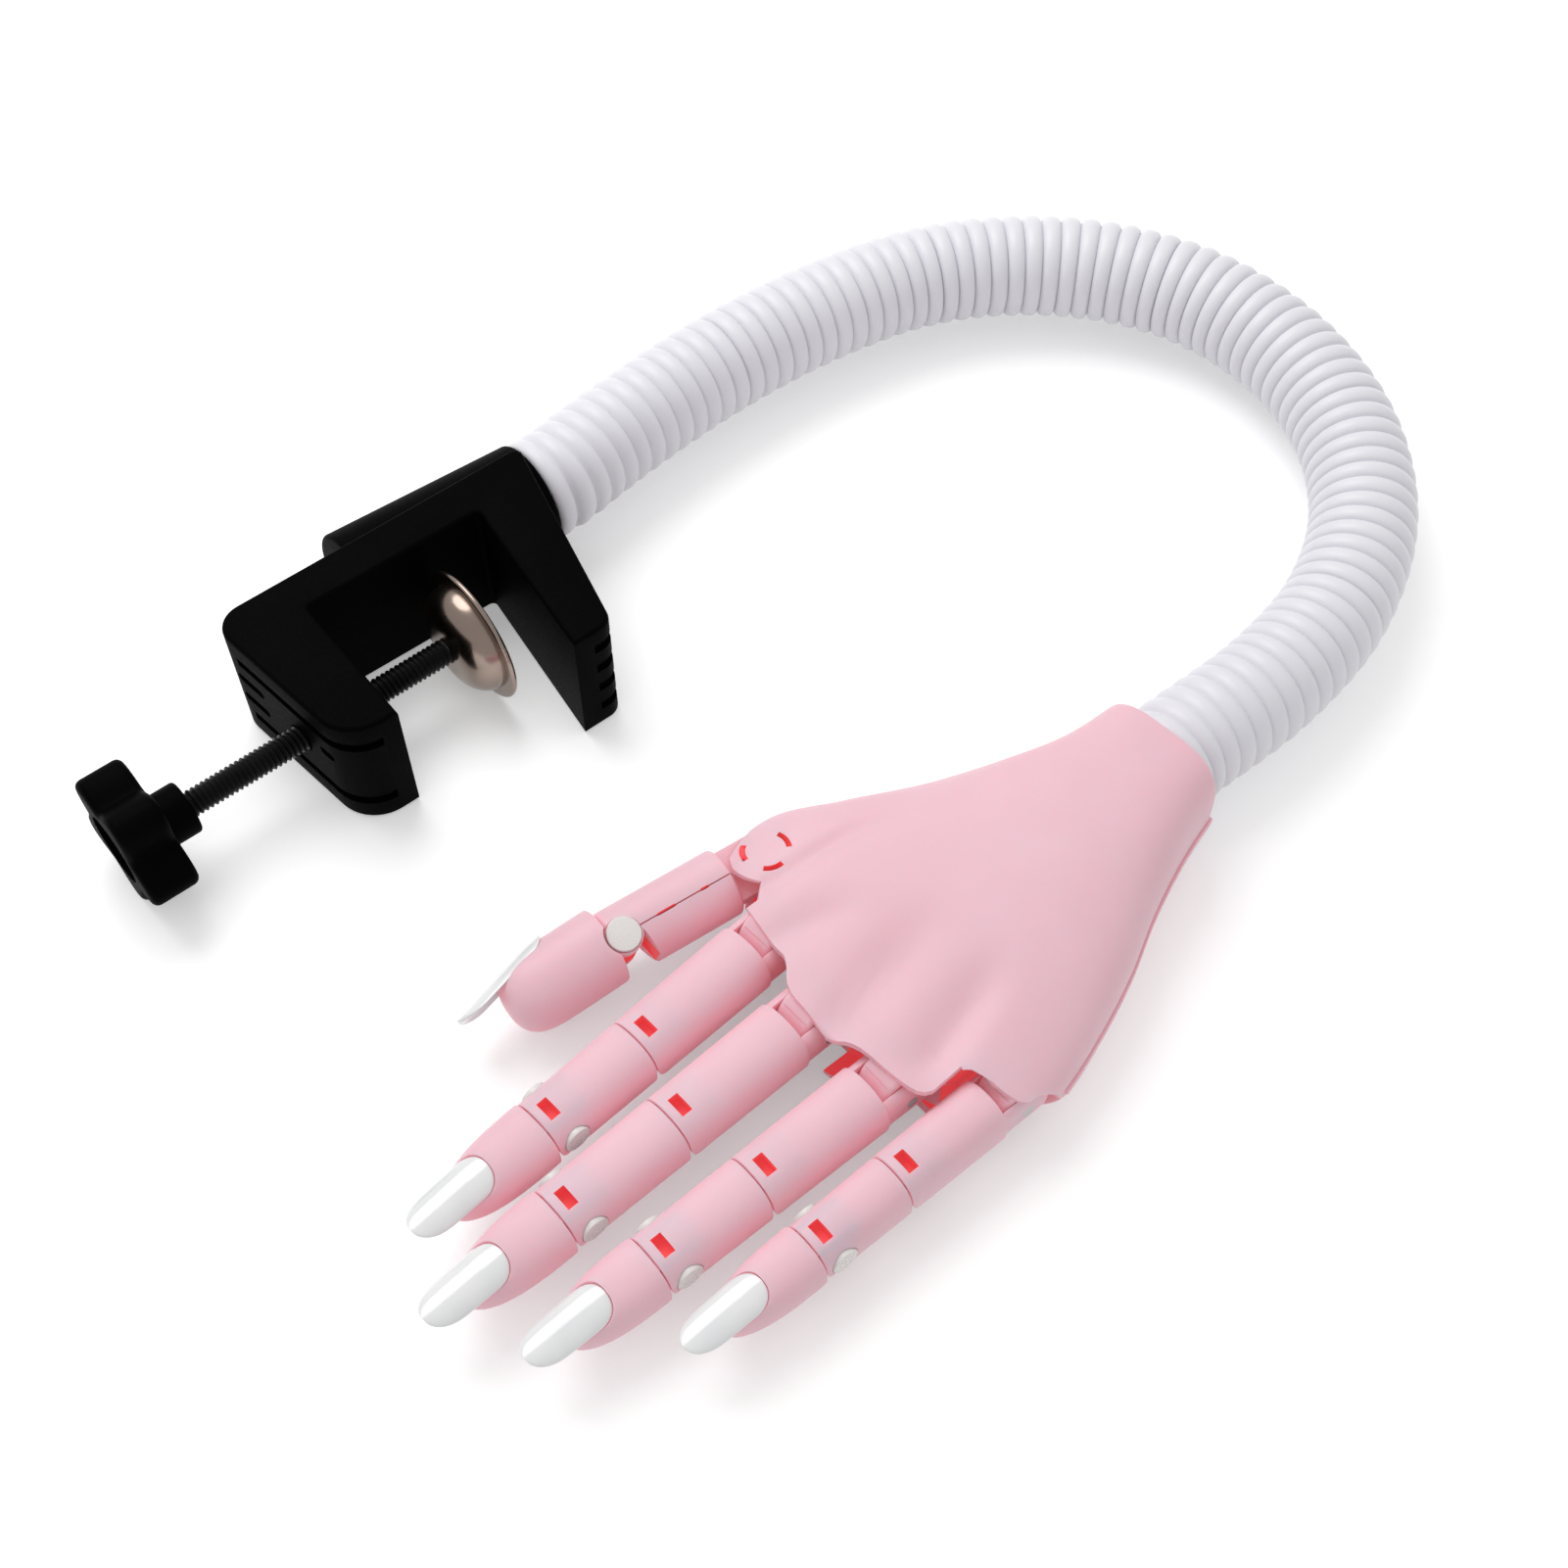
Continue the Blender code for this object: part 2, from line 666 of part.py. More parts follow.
def make_pad(parent):
    """A pressed steel foot: a rim, a dome and a neck round the screw's ball."""
    back = pad_back()
    face = PAD_FACE_PLACE
    outline = [
        (0.0, face),
        (PAD_RADIUS, face),
        (PAD_RADIUS, face - PAD_RIM_THICKNESS),
        (PAD_DOME_RADIUS, face - PAD_RIM_THICKNESS),
    ]
    for i in range(1, 5):
        angle = math.pi / 2 * i / 5
        outline.append((
            PAD_NECK_RADIUS + (PAD_DOME_RADIUS - PAD_NECK_RADIUS) * math.cos(angle),
            face - PAD_RIM_THICKNESS - PAD_DOME_HEIGHT * math.sin(angle)))
    outline.append((PAD_NECK_RADIUS, back))
    outline.append((0.0, back))
    pad = turned("pad", outline, PAD_SIDES)
    seat = ball("seat", BALL_RADIUS + RUNNING_GAP, (back + BALL_RADIUS - PAD_WALL, 0, 0),
                BALL_STEPS + 2, BALL_STEPS)
    return place(cut(pad, seat), "pad", parent, "pad_steel")


def turned(name, outline, sides):
    """A profile of (radius, place along X), turned about X by a Screw modifier."""
    mesh = bpy.data.meshes.new(name)
    bm = bmesh.new()
    verts = [bm.verts.new((x, 0.0, radius)) for radius, x in outline]
    for near, far in zip(verts, verts[1:]):
        bm.edges.new((near, far))
    bm.to_mesh(mesh)
    bm.free()
    item = bpy.data.objects.new(name, mesh)
    PARTS.objects.link(item)
    step = item.modifiers.new("turn", "SCREW")
    step.axis = "X"
    step.steps = sides
    step.render_steps = sides
    step.use_merge_vertices = True
    step.merge_threshold = WELD
    item = bake_mesh(item)
    bm = bmesh.new()
    bm.from_mesh(item.data)
    bmesh.ops.recalc_face_normals(bm, faces=bm.faces)
    bm.to_mesh(item.data)
    bm.free()
    return item


def make_pad_ball(parent):
    """The swivel ball riveted on the screw's end, free in the pad."""
    back = pad_back()
    centre = back + BALL_RADIUS - PAD_WALL
    item = ball("pad_ball", BALL_RADIUS, (centre, 0, 0), BALL_STEPS, BALL_STEPS - 2)
    return place(item, "pad_ball", parent, "plain_steel")


def make_screw(parent):
    back = pad_back() - PAD_WALL - GAP
    item = rod("clamp_screw", SCREW_RADIUS, (HUB_START - HUB_LENGTH, 0, 0), (back, 0, 0), SCREW_SIDES)
    return place(item, "clamp_screw", parent, "black_steel")


def make_knob(parent):
    """A five-lobed knob with a hub, a dished outer face and a bore for the screw."""
    inner = HUB_START - HUB_LENGTH
    outline = []
    steps = KNOB_LOBES * KNOB_STEPS
    for i in range(steps):
        angle = 2 * math.pi * i / steps
        lobe = (1 + math.cos(KNOB_LOBES * angle)) / 2
        radius = KNOB_VALLEY_RADIUS + (KNOB_RADIUS - KNOB_VALLEY_RADIUS) * lobe ** KNOB_LOBE_POWER
        outline.append((radius * math.cos(angle), radius * math.sin(angle)))
    knob = flat_solid("knob", outline, -KNOB_THICKNESS / 2, KNOB_THICKNESS / 2)
    knob = soften(knob, KNOB_EDGE_ROUND)
    # the first lobe points along local X here, and is turned to stand up
    knob.data.transform(Matrix.Rotation(-math.pi / 2, 4, "Y"))
    knob.data.transform(Matrix.Rotation(KNOB_TURN, 4, "X"))
    knob.data.transform(Matrix.Translation((inner - KNOB_THICKNESS / 2, 0, 0)))
    hub = rod("hub", HUB_RADIUS, (inner - OVERRUN, 0, 0), (HUB_START, 0, 0), SCREW_SIDES)
    knob = join(knob, hub)
    dish = rod(
        "dish", KNOB_RECESS_RADIUS, (inner - KNOB_THICKNESS - OVERRUN, 0, 0),
        (inner - KNOB_THICKNESS + KNOB_RECESS_DEPTH, 0, 0), PAD_SIDES)
    way = rod(
        "way", (SCREW_RADIUS + GAP) / math.cos(math.pi / SCREW_SIDES),
        (inner - GAP, 0, 0), (HUB_START + OVERRUN, 0, 0), SCREW_SIDES)
    return place(cut(knob, dish, way), "knob", parent, "black_plastic")


# The neck

def clamp_matrix():
    return (Matrix.Translation((*CLAMP_PLACE, AXIS_HEIGHT))
            @ Matrix.Rotation(CLAMP_YAW, 4, "Z"))


def smooth_route(points):
    """A centripetal Catmull-Rom curve through the points, as many short steps."""
    ends = [points[0] * 2 - points[1], *points, points[-1] * 2 - points[-2]]
    fine = []
    for p0, p1, p2, p3 in zip(ends, ends[1:], ends[2:], ends[3:]):
        knots = [0.0]
        for a, b in ((p0, p1), (p1, p2), (p2, p3)):
            knots.append(knots[-1] + math.sqrt((b - a).length))
        count = max(2, round((p2 - p1).length / ROUTE_STEP))
        for i in range(count):
            t = knots[1] + (knots[2] - knots[1]) * i / count
            a1 = p0.lerp(p1, (t - knots[0]) / (knots[1] - knots[0]))
            a2 = p1.lerp(p2, (t - knots[1]) / (knots[2] - knots[1]))
            a3 = p2.lerp(p3, (t - knots[2]) / (knots[3] - knots[2]))
            b1 = a1.lerp(a2, (t - knots[0]) / (knots[2] - knots[0]))
            b2 = a2.lerp(a3, (t - knots[1]) / (knots[3] - knots[1]))
            fine.append(b1.lerp(b2, (t - knots[1]) / (knots[2] - knots[1])))
    fine.append(points[-1])
    return fine


class Route:
    """The neck's centre line, read by its length from the clamp's socket mouth."""

    def __init__(self):
        clamp = clamp_matrix()
        mouth = clamp @ Vector((NECK_SOCKET_END, NECK_SOCKET_OFFSET, 0))
        inside = clamp @ Vector((NECK_SOCKET_END - NECK_SOCKET_DEPTH, NECK_SOCKET_OFFSET, 0))
        before = clamp @ Vector((NECK_SOCKET_END - NECK_SOCKET_DEPTH / 2, NECK_SOCKET_OFFSET, 0))
        wrist = Vector((*WRIST_PLACE, AXIS_HEIGHT))
        beyond = clamp @ Vector((NECK_SOCKET_END + NECK_STRAIGHT_END, NECK_SOCKET_OFFSET, 0))
        outside = wrist + Vector((NECK_STRAIGHT_END, 0, 0))
        within = wrist - Vector((WRIST_SOCKET_DEPTH / 2, 0, 0))
        end = wrist - Vector((WRIST_SOCKET_DEPTH, 0, 0))
        middle = [Vector((x, y, AXIS_HEIGHT)) for x, y in NECK_ROUTE]
        self.points = smooth_route([inside, before, mouth, beyond, *middle, outside, wrist, within, end])
        self.lengths = [0.0]
        for a, b in zip(self.points, self.points[1:]):
            self.lengths.append(self.lengths[-1] + (b - a).length)
        self.start = -NECK_SOCKET_DEPTH
        self.free = self.lengths[-1] - NECK_SOCKET_DEPTH - WRIST_SOCKET_DEPTH

    def at(self, s):
        """The point at a length s from the socket's mouth."""
        wanted = s - self.start
        low = 0
        high = len(self.lengths) - 1
        while high - low > 1:
            middle = (low + high) // 2
            if self.lengths[middle] <= wanted:
                low = middle
            else:
                high = middle
        span = self.lengths[high] - self.lengths[low]
        return self.points[low].lerp(self.points[high], (wanted - self.lengths[low]) / span)

    def direction(self, s):
        return (self.at(s + ROUTE_STEP) - self.at(s - ROUTE_STEP)).normalized()


def tube_along(name, places, radii, resolution=2):
    """A filled tube on a poly spline, with a radius of its own at each point."""
    curve = bpy.data.curves.new(name, "CURVE")
    curve.dimensions = "3D"
    curve.bevel_depth = 1.0
    curve.bevel_resolution = resolution
    curve.use_fill_caps = True
    spline = curve.splines.new("POLY")
    spline.points.add(len(places) - 1)
    for point, spot, radius in zip(spline.points, places, radii):
        point.co = (*spot, 1.0)
        point.radius = radius
    item = bpy.data.objects.new(name, curve)
    PARTS.objects.link(item)
    return bake_mesh(item)


def joint_places(route):
    """Lengths along the neck at which its links meet."""
    step = route.free / (LINK_COUNT - 1)
    return [step * (i + 0.5) for i in range(LINK_COUNT - 1)]


def link_span(route, number):
    """Where a link and its sleeve section start and end along the neck."""
    joints = joint_places(route)
    start = joints[number - 2] if number > 1 else route.start + GAP
    end = joints[number - 1] if number < LINK_COUNT else route.free + WRIST_SOCKET_DEPTH - GAP
    return start, end


def make_sleeve(route, number, parent, origin):
    """One section of the ribbed sleeve, cut through at valleys between ribs, with its bore."""
    start, end = link_span(route, number)
    if number == 1:
        start = GAP
    if number == LINK_COUNT:
        end = route.free + WRIST_SLEEVE_DEPTH - GAP
    pitch = route.free / (LINK_COUNT - 1) / RIBS_PER_LINK
    ribs = max(2, round((end - start) / pitch))
    low = start + (SLEEVE_SECTION_GAP / 2 if number > 1 else 0.0)
    high = end - (SLEEVE_SECTION_GAP / 2 if number < LINK_COUNT else 0.0)
    places = []
    radii = []
    for i in range(2 * ribs + 1):
        places.append(route.at(low + (high - low) * i / (2 * ribs)) - origin)
        radii.append(SLEEVE_RADIUS if i % 2 else SLEEVE_VALLEY_RADIUS)
    sleeve = tube_along("sleeve", places, radii)
    spots = [route.at(low + (high - low) * i / BORE_STEPS) - origin for i in range(BORE_STEPS + 1)]
    spots[0] = spots[0] + (spots[0] - spots[1]).normalized() * OVERRUN
    spots[-1] = spots[-1] + (spots[-1] - spots[-2]).normalized() * OVERRUN
    bore = tube_along("bore", spots, [SLEEVE_BORE_RADIUS] * len(spots))
    return place(cut(sleeve, bore), f"sleeve_section_{number}", parent, "white_plastic")


def make_link(route, number, parent, origin):
    """A stiff link of the neck: a ball on its far end, a cup on its near end."""
    start, end = link_span(route, number)
    cup = number > 1
    knob_end = number < LINK_COUNT
    low = start - LINK_SOCKET_LIP if cup else start
    high = end - LINK_SHOULDER if knob_end else end
    spots = [route.at(low + (high - low) * i / LINK_STEPS) - origin for i in range(LINK_STEPS + 1)]
    radii = [LINK_RADIUS] * len(spots)
    item = tube_along("link", spots, radii)
    if knob_end:
        centre = route.at(end) - origin
        neck = rod("neck", LINK_NECK_RADIUS, spots[-1] - route.direction(end) * OVERRUN, centre, PIN_SIDES)
        head = ball("head", LINK_BALL_RADIUS, centre, LINK_SIDES, LINK_SIDES - 2)
        item = join(item, neck, head)
    if cup:
        centre = route.at(start) - origin
        room = ball("room", LINK_BALL_RADIUS + RUNNING_GAP, centre, ROOM_SIDES, LINK_SIDES)
        item = cut(item, room)
    return place(item, f"neck_link_{number}", parent, "plain_steel")


# The palm

def palm_point(share_x, share_y, z):
    """A point of the palm from its shares of length and width."""
    x = WRIST_PLACE[0] - PALM_LENGTH * share_x
    y = WRIST_PLACE[1] + PALM_WIDTH * share_y
    return (x, y, z)


def knuckle_point(share, across, z):
    """A hinge's place from its share of the palm's length and its way across from the wrist."""
    return (WRIST_PLACE[0] - PALM_LENGTH * share, WRIST_PLACE[1] + across, z)


def palm_rings(inset, first, last):
    """Cross sections of the palm from the wrist to the knuckles, drawn in by the inset."""
    rings = []
    for share_x, thumb, little, low, high in PALM_STATION_SHARES:
        x = WRIST_PLACE[0] - PALM_LENGTH * share_x
        along = WRIST_PLACE[0] - x
        if along < first or along > last:
            continue
        left = WRIST_PLACE[1] + PALM_WIDTH * thumb - inset
        right = WRIST_PLACE[1] + PALM_WIDTH * little + inset
        bottom = PALM_FLOOR + PALM_HEIGHT * low + inset
        top = PALM_FLOOR + PALM_HEIGHT * high - inset
        rings.append(oval_ring(
            x, (left - right) / 2, (top - bottom) / 2, PALM_CORNER_POWER, PALM_SIDES,
            rise=(top + bottom) / 2, side=(left + right) / 2))
    return rings


def finger_matrix(name, across, yaw):
    """The frame of a knuckle pin: +X out along the finger, which lies level."""
    return (Matrix.Translation(knuckle_point(KNUCKLE_PLACE_SHARES[name], across, HINGE_HEIGHT))
            @ Matrix.Rotation(math.pi + yaw, 4, "Z"))


def knuckle_room(label, width):
    """What a finger's lugs and body sweep out of the palm's front, open at its outer sides."""
    half = width / 2 + LUG_CLEARANCE
    low = half + (ROOM_OUTER_REACH if label == "index" else 0.0)
    high = half + (ROOM_OUTER_REACH if label == "little" else 0.0)
    far = KNUCKLE_RADIUS * 3
    relief = math.hypot(KNUCKLE_RADIUS + GAP, FINGER_HEIGHT / 2) + 2 * GAP
    lug = LUG_RADIUS + 2 * GAP
    outline = [(-GAP, far)]
    outline += arc((0, 0), lug, math.pi / 2 + GAP / lug, math.pi, 5)
    outline += arc((0, 0), relief, math.pi, 1.5 * math.pi, 6)
    outline += [(0.0, -far), (far, -far), (far, far)]
    return flat_solid("room", outline, -low, high, plane="XZ")


def knuckle_tongue():
    """The rounded eye on the palm that a finger's two lugs straddle."""
    outline = arc((0, 0), KNUCKLE_RADIUS, math.pi / 2, -TONGUE_WRAP, 11)
    outline += [
        (-KNUCKLE_RADIUS, -TONGUE_DROP),
        (-TONGUE_LENGTH, -TONGUE_DROP),
        (-TONGUE_LENGTH, KNUCKLE_RADIUS),
    ]
    return flat_solid("tongue", outline, -TONGUE_WIDTH / 2, TONGUE_WIDTH / 2, plane="XZ")


def thumb_matrix():
    """The frame of the thumb's base pin: +X along the thumb, Y up along the leaning pin."""
    return (Matrix.Translation(knuckle_point(THUMB_PLACE_SHARE, THUMB_ACROSS, THUMB_HEIGHT))
            @ Matrix.Rotation(math.pi + THUMB_YAW, 4, "Z")
            @ Matrix.Rotation(math.pi / 2 - THUMB_ROLL, 4, "X"))


def thumb_pocket():
    """A slot in the palm for the thumb's eye, open as far as the thumb swings."""
    reach = THUMB_EYE_RADIUS * 4
    radius = THUMB_EYE_RADIUS + 2 * GAP
    swing = THUMB_POCKET_SWING
    outline = arc((0, 0), radius, math.pi / 2 + swing / 2, 1.5 * math.pi - swing / 2, 12)
    outline += [
        (reach, -reach * math.tan(swing) - radius),
        (reach, reach * math.tan(swing) + radius),
    ]
    half = THUMB_EYE_THICKNESS / 2 + GAP
    return flat_solid("pocket", outline, -half, half, plane="XZ")


def make_palm(parent):
    """Two moulded shells, split level, with knuckle eyes, a thumb slot and a wrist socket."""
    solid = loft("palm", palm_rings(0.0, 0.0, PALM_LENGTH))
    solid = soften(solid, PALM_EDGE_ROUND)
    for name, across, yaw, seam, second, tip, width, tip_width in FINGERS:
        room = knuckle_room(name, width)
        room.data.transform(finger_matrix(name, across, yaw))
        solid = cut(solid, room)
    for name, across, yaw, seam, second, tip, width, tip_width in FINGERS:
        tongue = knuckle_tongue()
        tongue.data.transform(finger_matrix(name, across, yaw))
        solid = join(solid, tongue)
    for name, across, yaw, seam, second, tip, width, tip_width in FINGERS:
        hole = pin_hole(PIN_RADIUS, width)
        hole.data.transform(finger_matrix(name, across, yaw))
        solid = cut(solid, hole)
    pocket = thumb_pocket()
    pocket.data.transform(thumb_matrix())
    pin = pin_hole(THUMB_PIN_RADIUS, THUMB_PIN_HALF + GAP)
    pin.data.transform(thumb_matrix())
    wrist = Vector((*WRIST_PLACE, AXIS_HEIGHT))
    socket = rod(
        "socket", SOCKET_RADIUS / math.cos(math.pi / PAD_SIDES),
        wrist - Vector((WRIST_SLEEVE_DEPTH, 0, 0)), wrist + Vector((OVERRUN, 0, 0)), PAD_SIDES)
    bore = rod(
        "bore", (LINK_RADIUS + GAP) / math.cos(math.pi / SCREW_SIDES),
        wrist - Vector((WRIST_SOCKET_DEPTH, 0, 0)), wrist, SCREW_SIDES)
    solid = cut(solid, pocket, pin, socket, bore)
    hollow = loft("hollow", palm_rings(PALM_WALL, PALM_CAVITY_START, PALM_CAVITY_END))
    for share_x, share_y in SCREW_PLACE_SHARES:
        hollow = cut(hollow, rod(
            "boss", BOSS_RADIUS, palm_point(share_x, share_y, -PALM_HEIGHT),
            palm_point(share_x, share_y, 2 * PALM_HEIGHT), PIN_SIDES))
    solid = cut(solid, hollow)
    for share_x, share_y in SCREW_PLACE_SHARES:
        solid = cut(solid, screw_room(share_x, share_y))
    reach = 2 * PALM_LENGTH
    upper = keep_inside(
        copy_of(solid, "upper"),
        block("above", (-reach, -reach, PALM_SPLIT + GAP / 2), (reach, reach, reach)))
    lower = keep_inside(
        solid, block("below", (-reach, -reach, -reach), (reach, reach, PALM_SPLIT - GAP / 2)))
    place(drop_crumbs(upper), "palm_upper_shell", parent, "pink_plastic")
    place(drop_crumbs(lower), "palm_lower_shell", parent, "pink_plastic")


def screw_room(share_x, share_y):
    """A stepped hole from below for one palm screw."""
    top = PALM_FLOOR + SCREW_HEAD_SINK + PALM_SCREW_HEAD_HEIGHT + GAP
    head = rod(
        "head", PALM_SCREW_HEAD_RADIUS + 2 * GAP, palm_point(share_x, share_y, -OVERRUN),
        palm_point(share_x, share_y, top), PIN_SIDES)
    shank = rod(
        "shank", PALM_SCREW_RADIUS + 2 * GAP, palm_point(share_x, share_y, -OVERRUN),
        palm_point(share_x, share_y, top + PALM_SCREW_LENGTH + GAP), PIN_SIDES)
    return join(head, shank)


def make_palm_screws(parent):
    """Three like screws that hold the shells together, heads sunk in the underside."""
    base = PALM_FLOOR + SCREW_HEAD_SINK
    for number, (share_x, share_y) in enumerate(SCREW_PLACE_SHARES, start=1):
        head = rod(
            "head", PALM_SCREW_HEAD_RADIUS, palm_point(share_x, share_y, base),
            palm_point(share_x, share_y, base + PALM_SCREW_HEAD_HEIGHT), PIN_SIDES)
        shank = rod(
            "shank", PALM_SCREW_RADIUS, palm_point(share_x, share_y, base + PALM_SCREW_HEAD_HEIGHT / 2),
            palm_point(share_x, share_y, base + PALM_SCREW_HEAD_HEIGHT + PALM_SCREW_LENGTH), PIN_SIDES)
        place(join(head, shank), f"palm_screw_{number}", parent, "plain_steel")


# The fingers

def finger_size(x, seam_end, base_width, tip_width):
    """Half width and half height of a finger at a length x from its knuckle pin."""
    share = min(1.0, max(0.0, x / seam_end))
    width = base_width + (tip_width - base_width) * share
    height = FINGER_HEIGHT + (FINGER_TIP_HEIGHT - FINGER_HEIGHT) * share
    return width / 2, height / 2


def slot_cutter(eye):
    """The slot under a hinge's cover that takes the next phalanx's tongue."""
    half = HINGE_TONGUE_WIDTH / 2 + RUNNING_GAP
    far = FINGER_HEIGHT * 2
    return block("slot", (-HINGE_SLOT_DEPTH, -half, -far), (far, half, eye + RUNNING_GAP))


def rear_wedge():
    """Room below the hinge on the rear phalanx, clear of its eye."""
    far = FINGER_HEIGHT * 2
    outline = [(0.0, 0.0), (-far * math.tan(REAR_RELIEF), -far), (far, -far), (far, 0.0)]
    wedge = flat_solid("wedge", outline, -far, far, plane="XZ")
    eye = rod("eye", HINGE_EYE_RADIUS, (0, -far - OVERRUN, 0), (0, far + OVERRUN, 0), SCREW_SIDES)
    return cut(wedge, eye)


def front_wedge():
    """Room below the hinge on the front phalanx."""
    far = FINGER_HEIGHT * 2
    outline = [(-far, OVERRUN), (0.0, 0.0), (far * math.tan(FRONT_RELIEF), -far), (-far, -far)]
    return flat_solid("wedge", outline, -far, far, plane="XZ")


def hinge_tongue(reach):
    """The tongue on the rear end of a phalanx, round its hinge pin."""
    outline = arc((0, 0), HINGE_EYE_RADIUS, math.pi / 2, 1.5 * math.pi - FRONT_RELIEF, 7)
    outline += [
        (HINGE_SEAM + GAP, -HINGE_EYE_RADIUS / 2),
        (reach, -HINGE_EYE_RADIUS / 2),
        (reach, HINGE_EYE_RADIUS),
    ]
    half = HINGE_TONGUE_WIDTH / 2
    return flat_solid("tongue", outline, -half, half, plane="XZ")


def window_cutter():
    """The small window in the cover behind a hinge seam."""
    middle = HINGE_SEAM - WINDOW_BACK
    return block(
        "window", (middle - WINDOW_LENGTH / 2, -WINDOW_WIDTH / 2, 0),
        (middle + WINDOW_LENGTH / 2, WINDOW_WIDTH / 2, FINGER_HEIGHT))


def finger_bar(name, x0, x1, hinge, seam_end, widths):
    """The plain body of a phalanx, in the frame of its own hinge."""
    rings = []
    for i in range(3):
        x = x0 + (x1 - x0) * i / 2
        half_width, half_height = finger_size(x, seam_end, *widths)
        rings.append(oval_ring(
            x - hinge, half_width, half_height, FINGER_POWER, FINGER_SIDES,
            rise=-HINGE_RISE if hinge > 0 else 0.0))
    return loft(name, rings)


def button_rooms(half_width, radius):
    """Shallow round recesses in both cheeks for the heads of a hinge pin."""
    wide = (radius + RUNNING_GAP) / math.cos(math.pi / SCREW_SIDES)
    floor = half_width - BUTTON_SINK - RUNNING_GAP
    return [
        rod("room", wide, (0, side * floor, 0), (0, side * 2 * half_width, 0), SCREW_SIDES)
        for side in (1, -1)
    ]


def open_front(item, pin_place, rise, head_width=None):
    """Cut a phalanx's far end for the next one: slot, window, relief and pin hole."""
    cutters = [slot_cutter(HINGE_EYE_RADIUS), rear_wedge(), window_cutter(),
               pin_hole(PIN_RADIUS, FINGER_HEIGHT)]
    if head_width is not None:
        cutters += button_rooms(head_width, BUTTON_RADIUS)
    for cutter in cutters:
        shifted(cutter, pin_place, rise)
    return cut(item, *cutters)


def make_proximal(label, parent, first_pin, seam_end, widths):
    """The first phalanx: two lugs on the knuckle pin, a slotted far end."""
    start = KNUCKLE_RADIUS + GAP
    body = finger_bar("body", start, first_pin + HINGE_SEAM, 0.0, seam_end, widths)
    lug_end = start + LUG_REACH
    half_width = finger_size(start, seam_end, *widths)[0]
    outline = arc((0, 0), LUG_RADIUS, math.pi / 2, 1.5 * math.pi, 8)
    outline += [(lug_end, -LUG_RADIUS), (lug_end, LUG_RADIUS)]
    for side in (1, -1):
        lug = flat_solid(
            "lug", outline, min(side * LUG_START, side * (half_width - LUG_INSET)),
            max(side * LUG_START, side * (half_width - LUG_INSET)), plane="XZ")
        body = join(body, lug)
    body = cut(body, pin_hole(PIN_RADIUS, FINGER_HEIGHT))
    body = open_front(body, first_pin, HINGE_RISE)
    place(body, f"{label}_proximal", parent, "pink_plastic")


def make_middle(label, parent, first_pin, second_pin, seam_end, widths, head_width):
    """The second phalanx: a tongue in the first one's slot, a slot for the last one."""
    start = first_pin + HINGE_SEAM + GAP
    body = finger_bar("body", start, second_pin + HINGE_SEAM, first_pin, seam_end, widths)
    body = cut(body, front_wedge())
    body = join(body, hinge_tongue(HINGE_SEAM + LUG_REACH))
    body = cut(body, pin_hole(PIN_RADIUS, FINGER_HEIGHT))
    body = open_front(body, second_pin - first_pin, 0.0, head_width)
    place(body, f"{label}_middle", parent, "pink_plastic")


def tip_rings(start, tip, pin, half_width, half_height, rise):
    """Sections of a fingertip, drawn in to a blunt round end."""
    rings = []
    length = tip - start
    for i in range(TIP_STEPS + 1):
        share = i / TIP_STEPS
        fullness = math.sqrt(max(0.0, 1 - share ** TIP_POWER)) * (1 - TIP_END_SHARE) + TIP_END_SHARE
        drop = (1 - fullness) * half_height * TIP_DROP_SHARE
        rings.append(oval_ring(
            start + length * share - pin, half_width * fullness, half_height * fullness,
            FINGER_POWER, FINGER_SIDES, rise=rise - drop))
    return rings


def nail_sheet(name, x0, x1, radius, half_width, thickness, rise, taper):
    """A curved sheet about an axis along X, its far end drawn in, with a thickness."""
    bm = bmesh.new()
    rows = []
    for i in range(NAIL_STEPS + 1):
        share = i / NAIL_STEPS
        x = x0 + (x1 - x0) * share
        near_tip = max(0.0, (share - NAIL_STRAIGHT_SHARE) / (1 - NAIL_STRAIGHT_SHARE))
        wide = half_width
        if taper:
            fullness = math.sqrt(1 - near_tip ** NAIL_TAPER_POWER)
            wide = half_width * (NAIL_TIP_SHARE + (1 - NAIL_TIP_SHARE) * fullness)
        spread = math.asin(min(1.0, wide / radius))
        row = []
        for k in range(NAIL_STEPS + 1):
            angle = spread * (2 * k / NAIL_STEPS - 1)
            row.append(bm.verts.new((x, radius * math.sin(angle), rise + radius * (math.cos(angle) - 1))))
        rows.append(row)
    for near, far in zip(rows, rows[1:]):
        for k in range(NAIL_STEPS):
            bm.faces.new((near[k], far[k], far[k + 1], near[k + 1]))
    bmesh.ops.recalc_face_normals(bm, faces=bm.faces)
    if sum(face.normal.z for face in bm.faces) < 0:
        bmesh.ops.reverse_faces(bm, faces=bm.faces)
    mesh = bpy.data.meshes.new(name)
    bm.to_mesh(mesh)
    bm.free()
    item = bpy.data.objects.new(name, mesh)
    PARTS.objects.link(item)
    step = item.modifiers.new("wall", "SOLIDIFY")
    step.thickness = thickness
    step.offset = -1.0
    return bake_mesh(item)


def nail_matrix(pin, tip, half_height, rise, slope):
    """Where a nail's root lies in the tip's hinge frame, sloping down along the finger."""
    start = tip - pin + NAIL_SHOWING - NAIL_LENGTH
    return (Matrix.Translation((start, 0, rise + half_height - NAIL_TOP_DROP))
            @ Matrix.Rotation(slope, 4, "Y"))


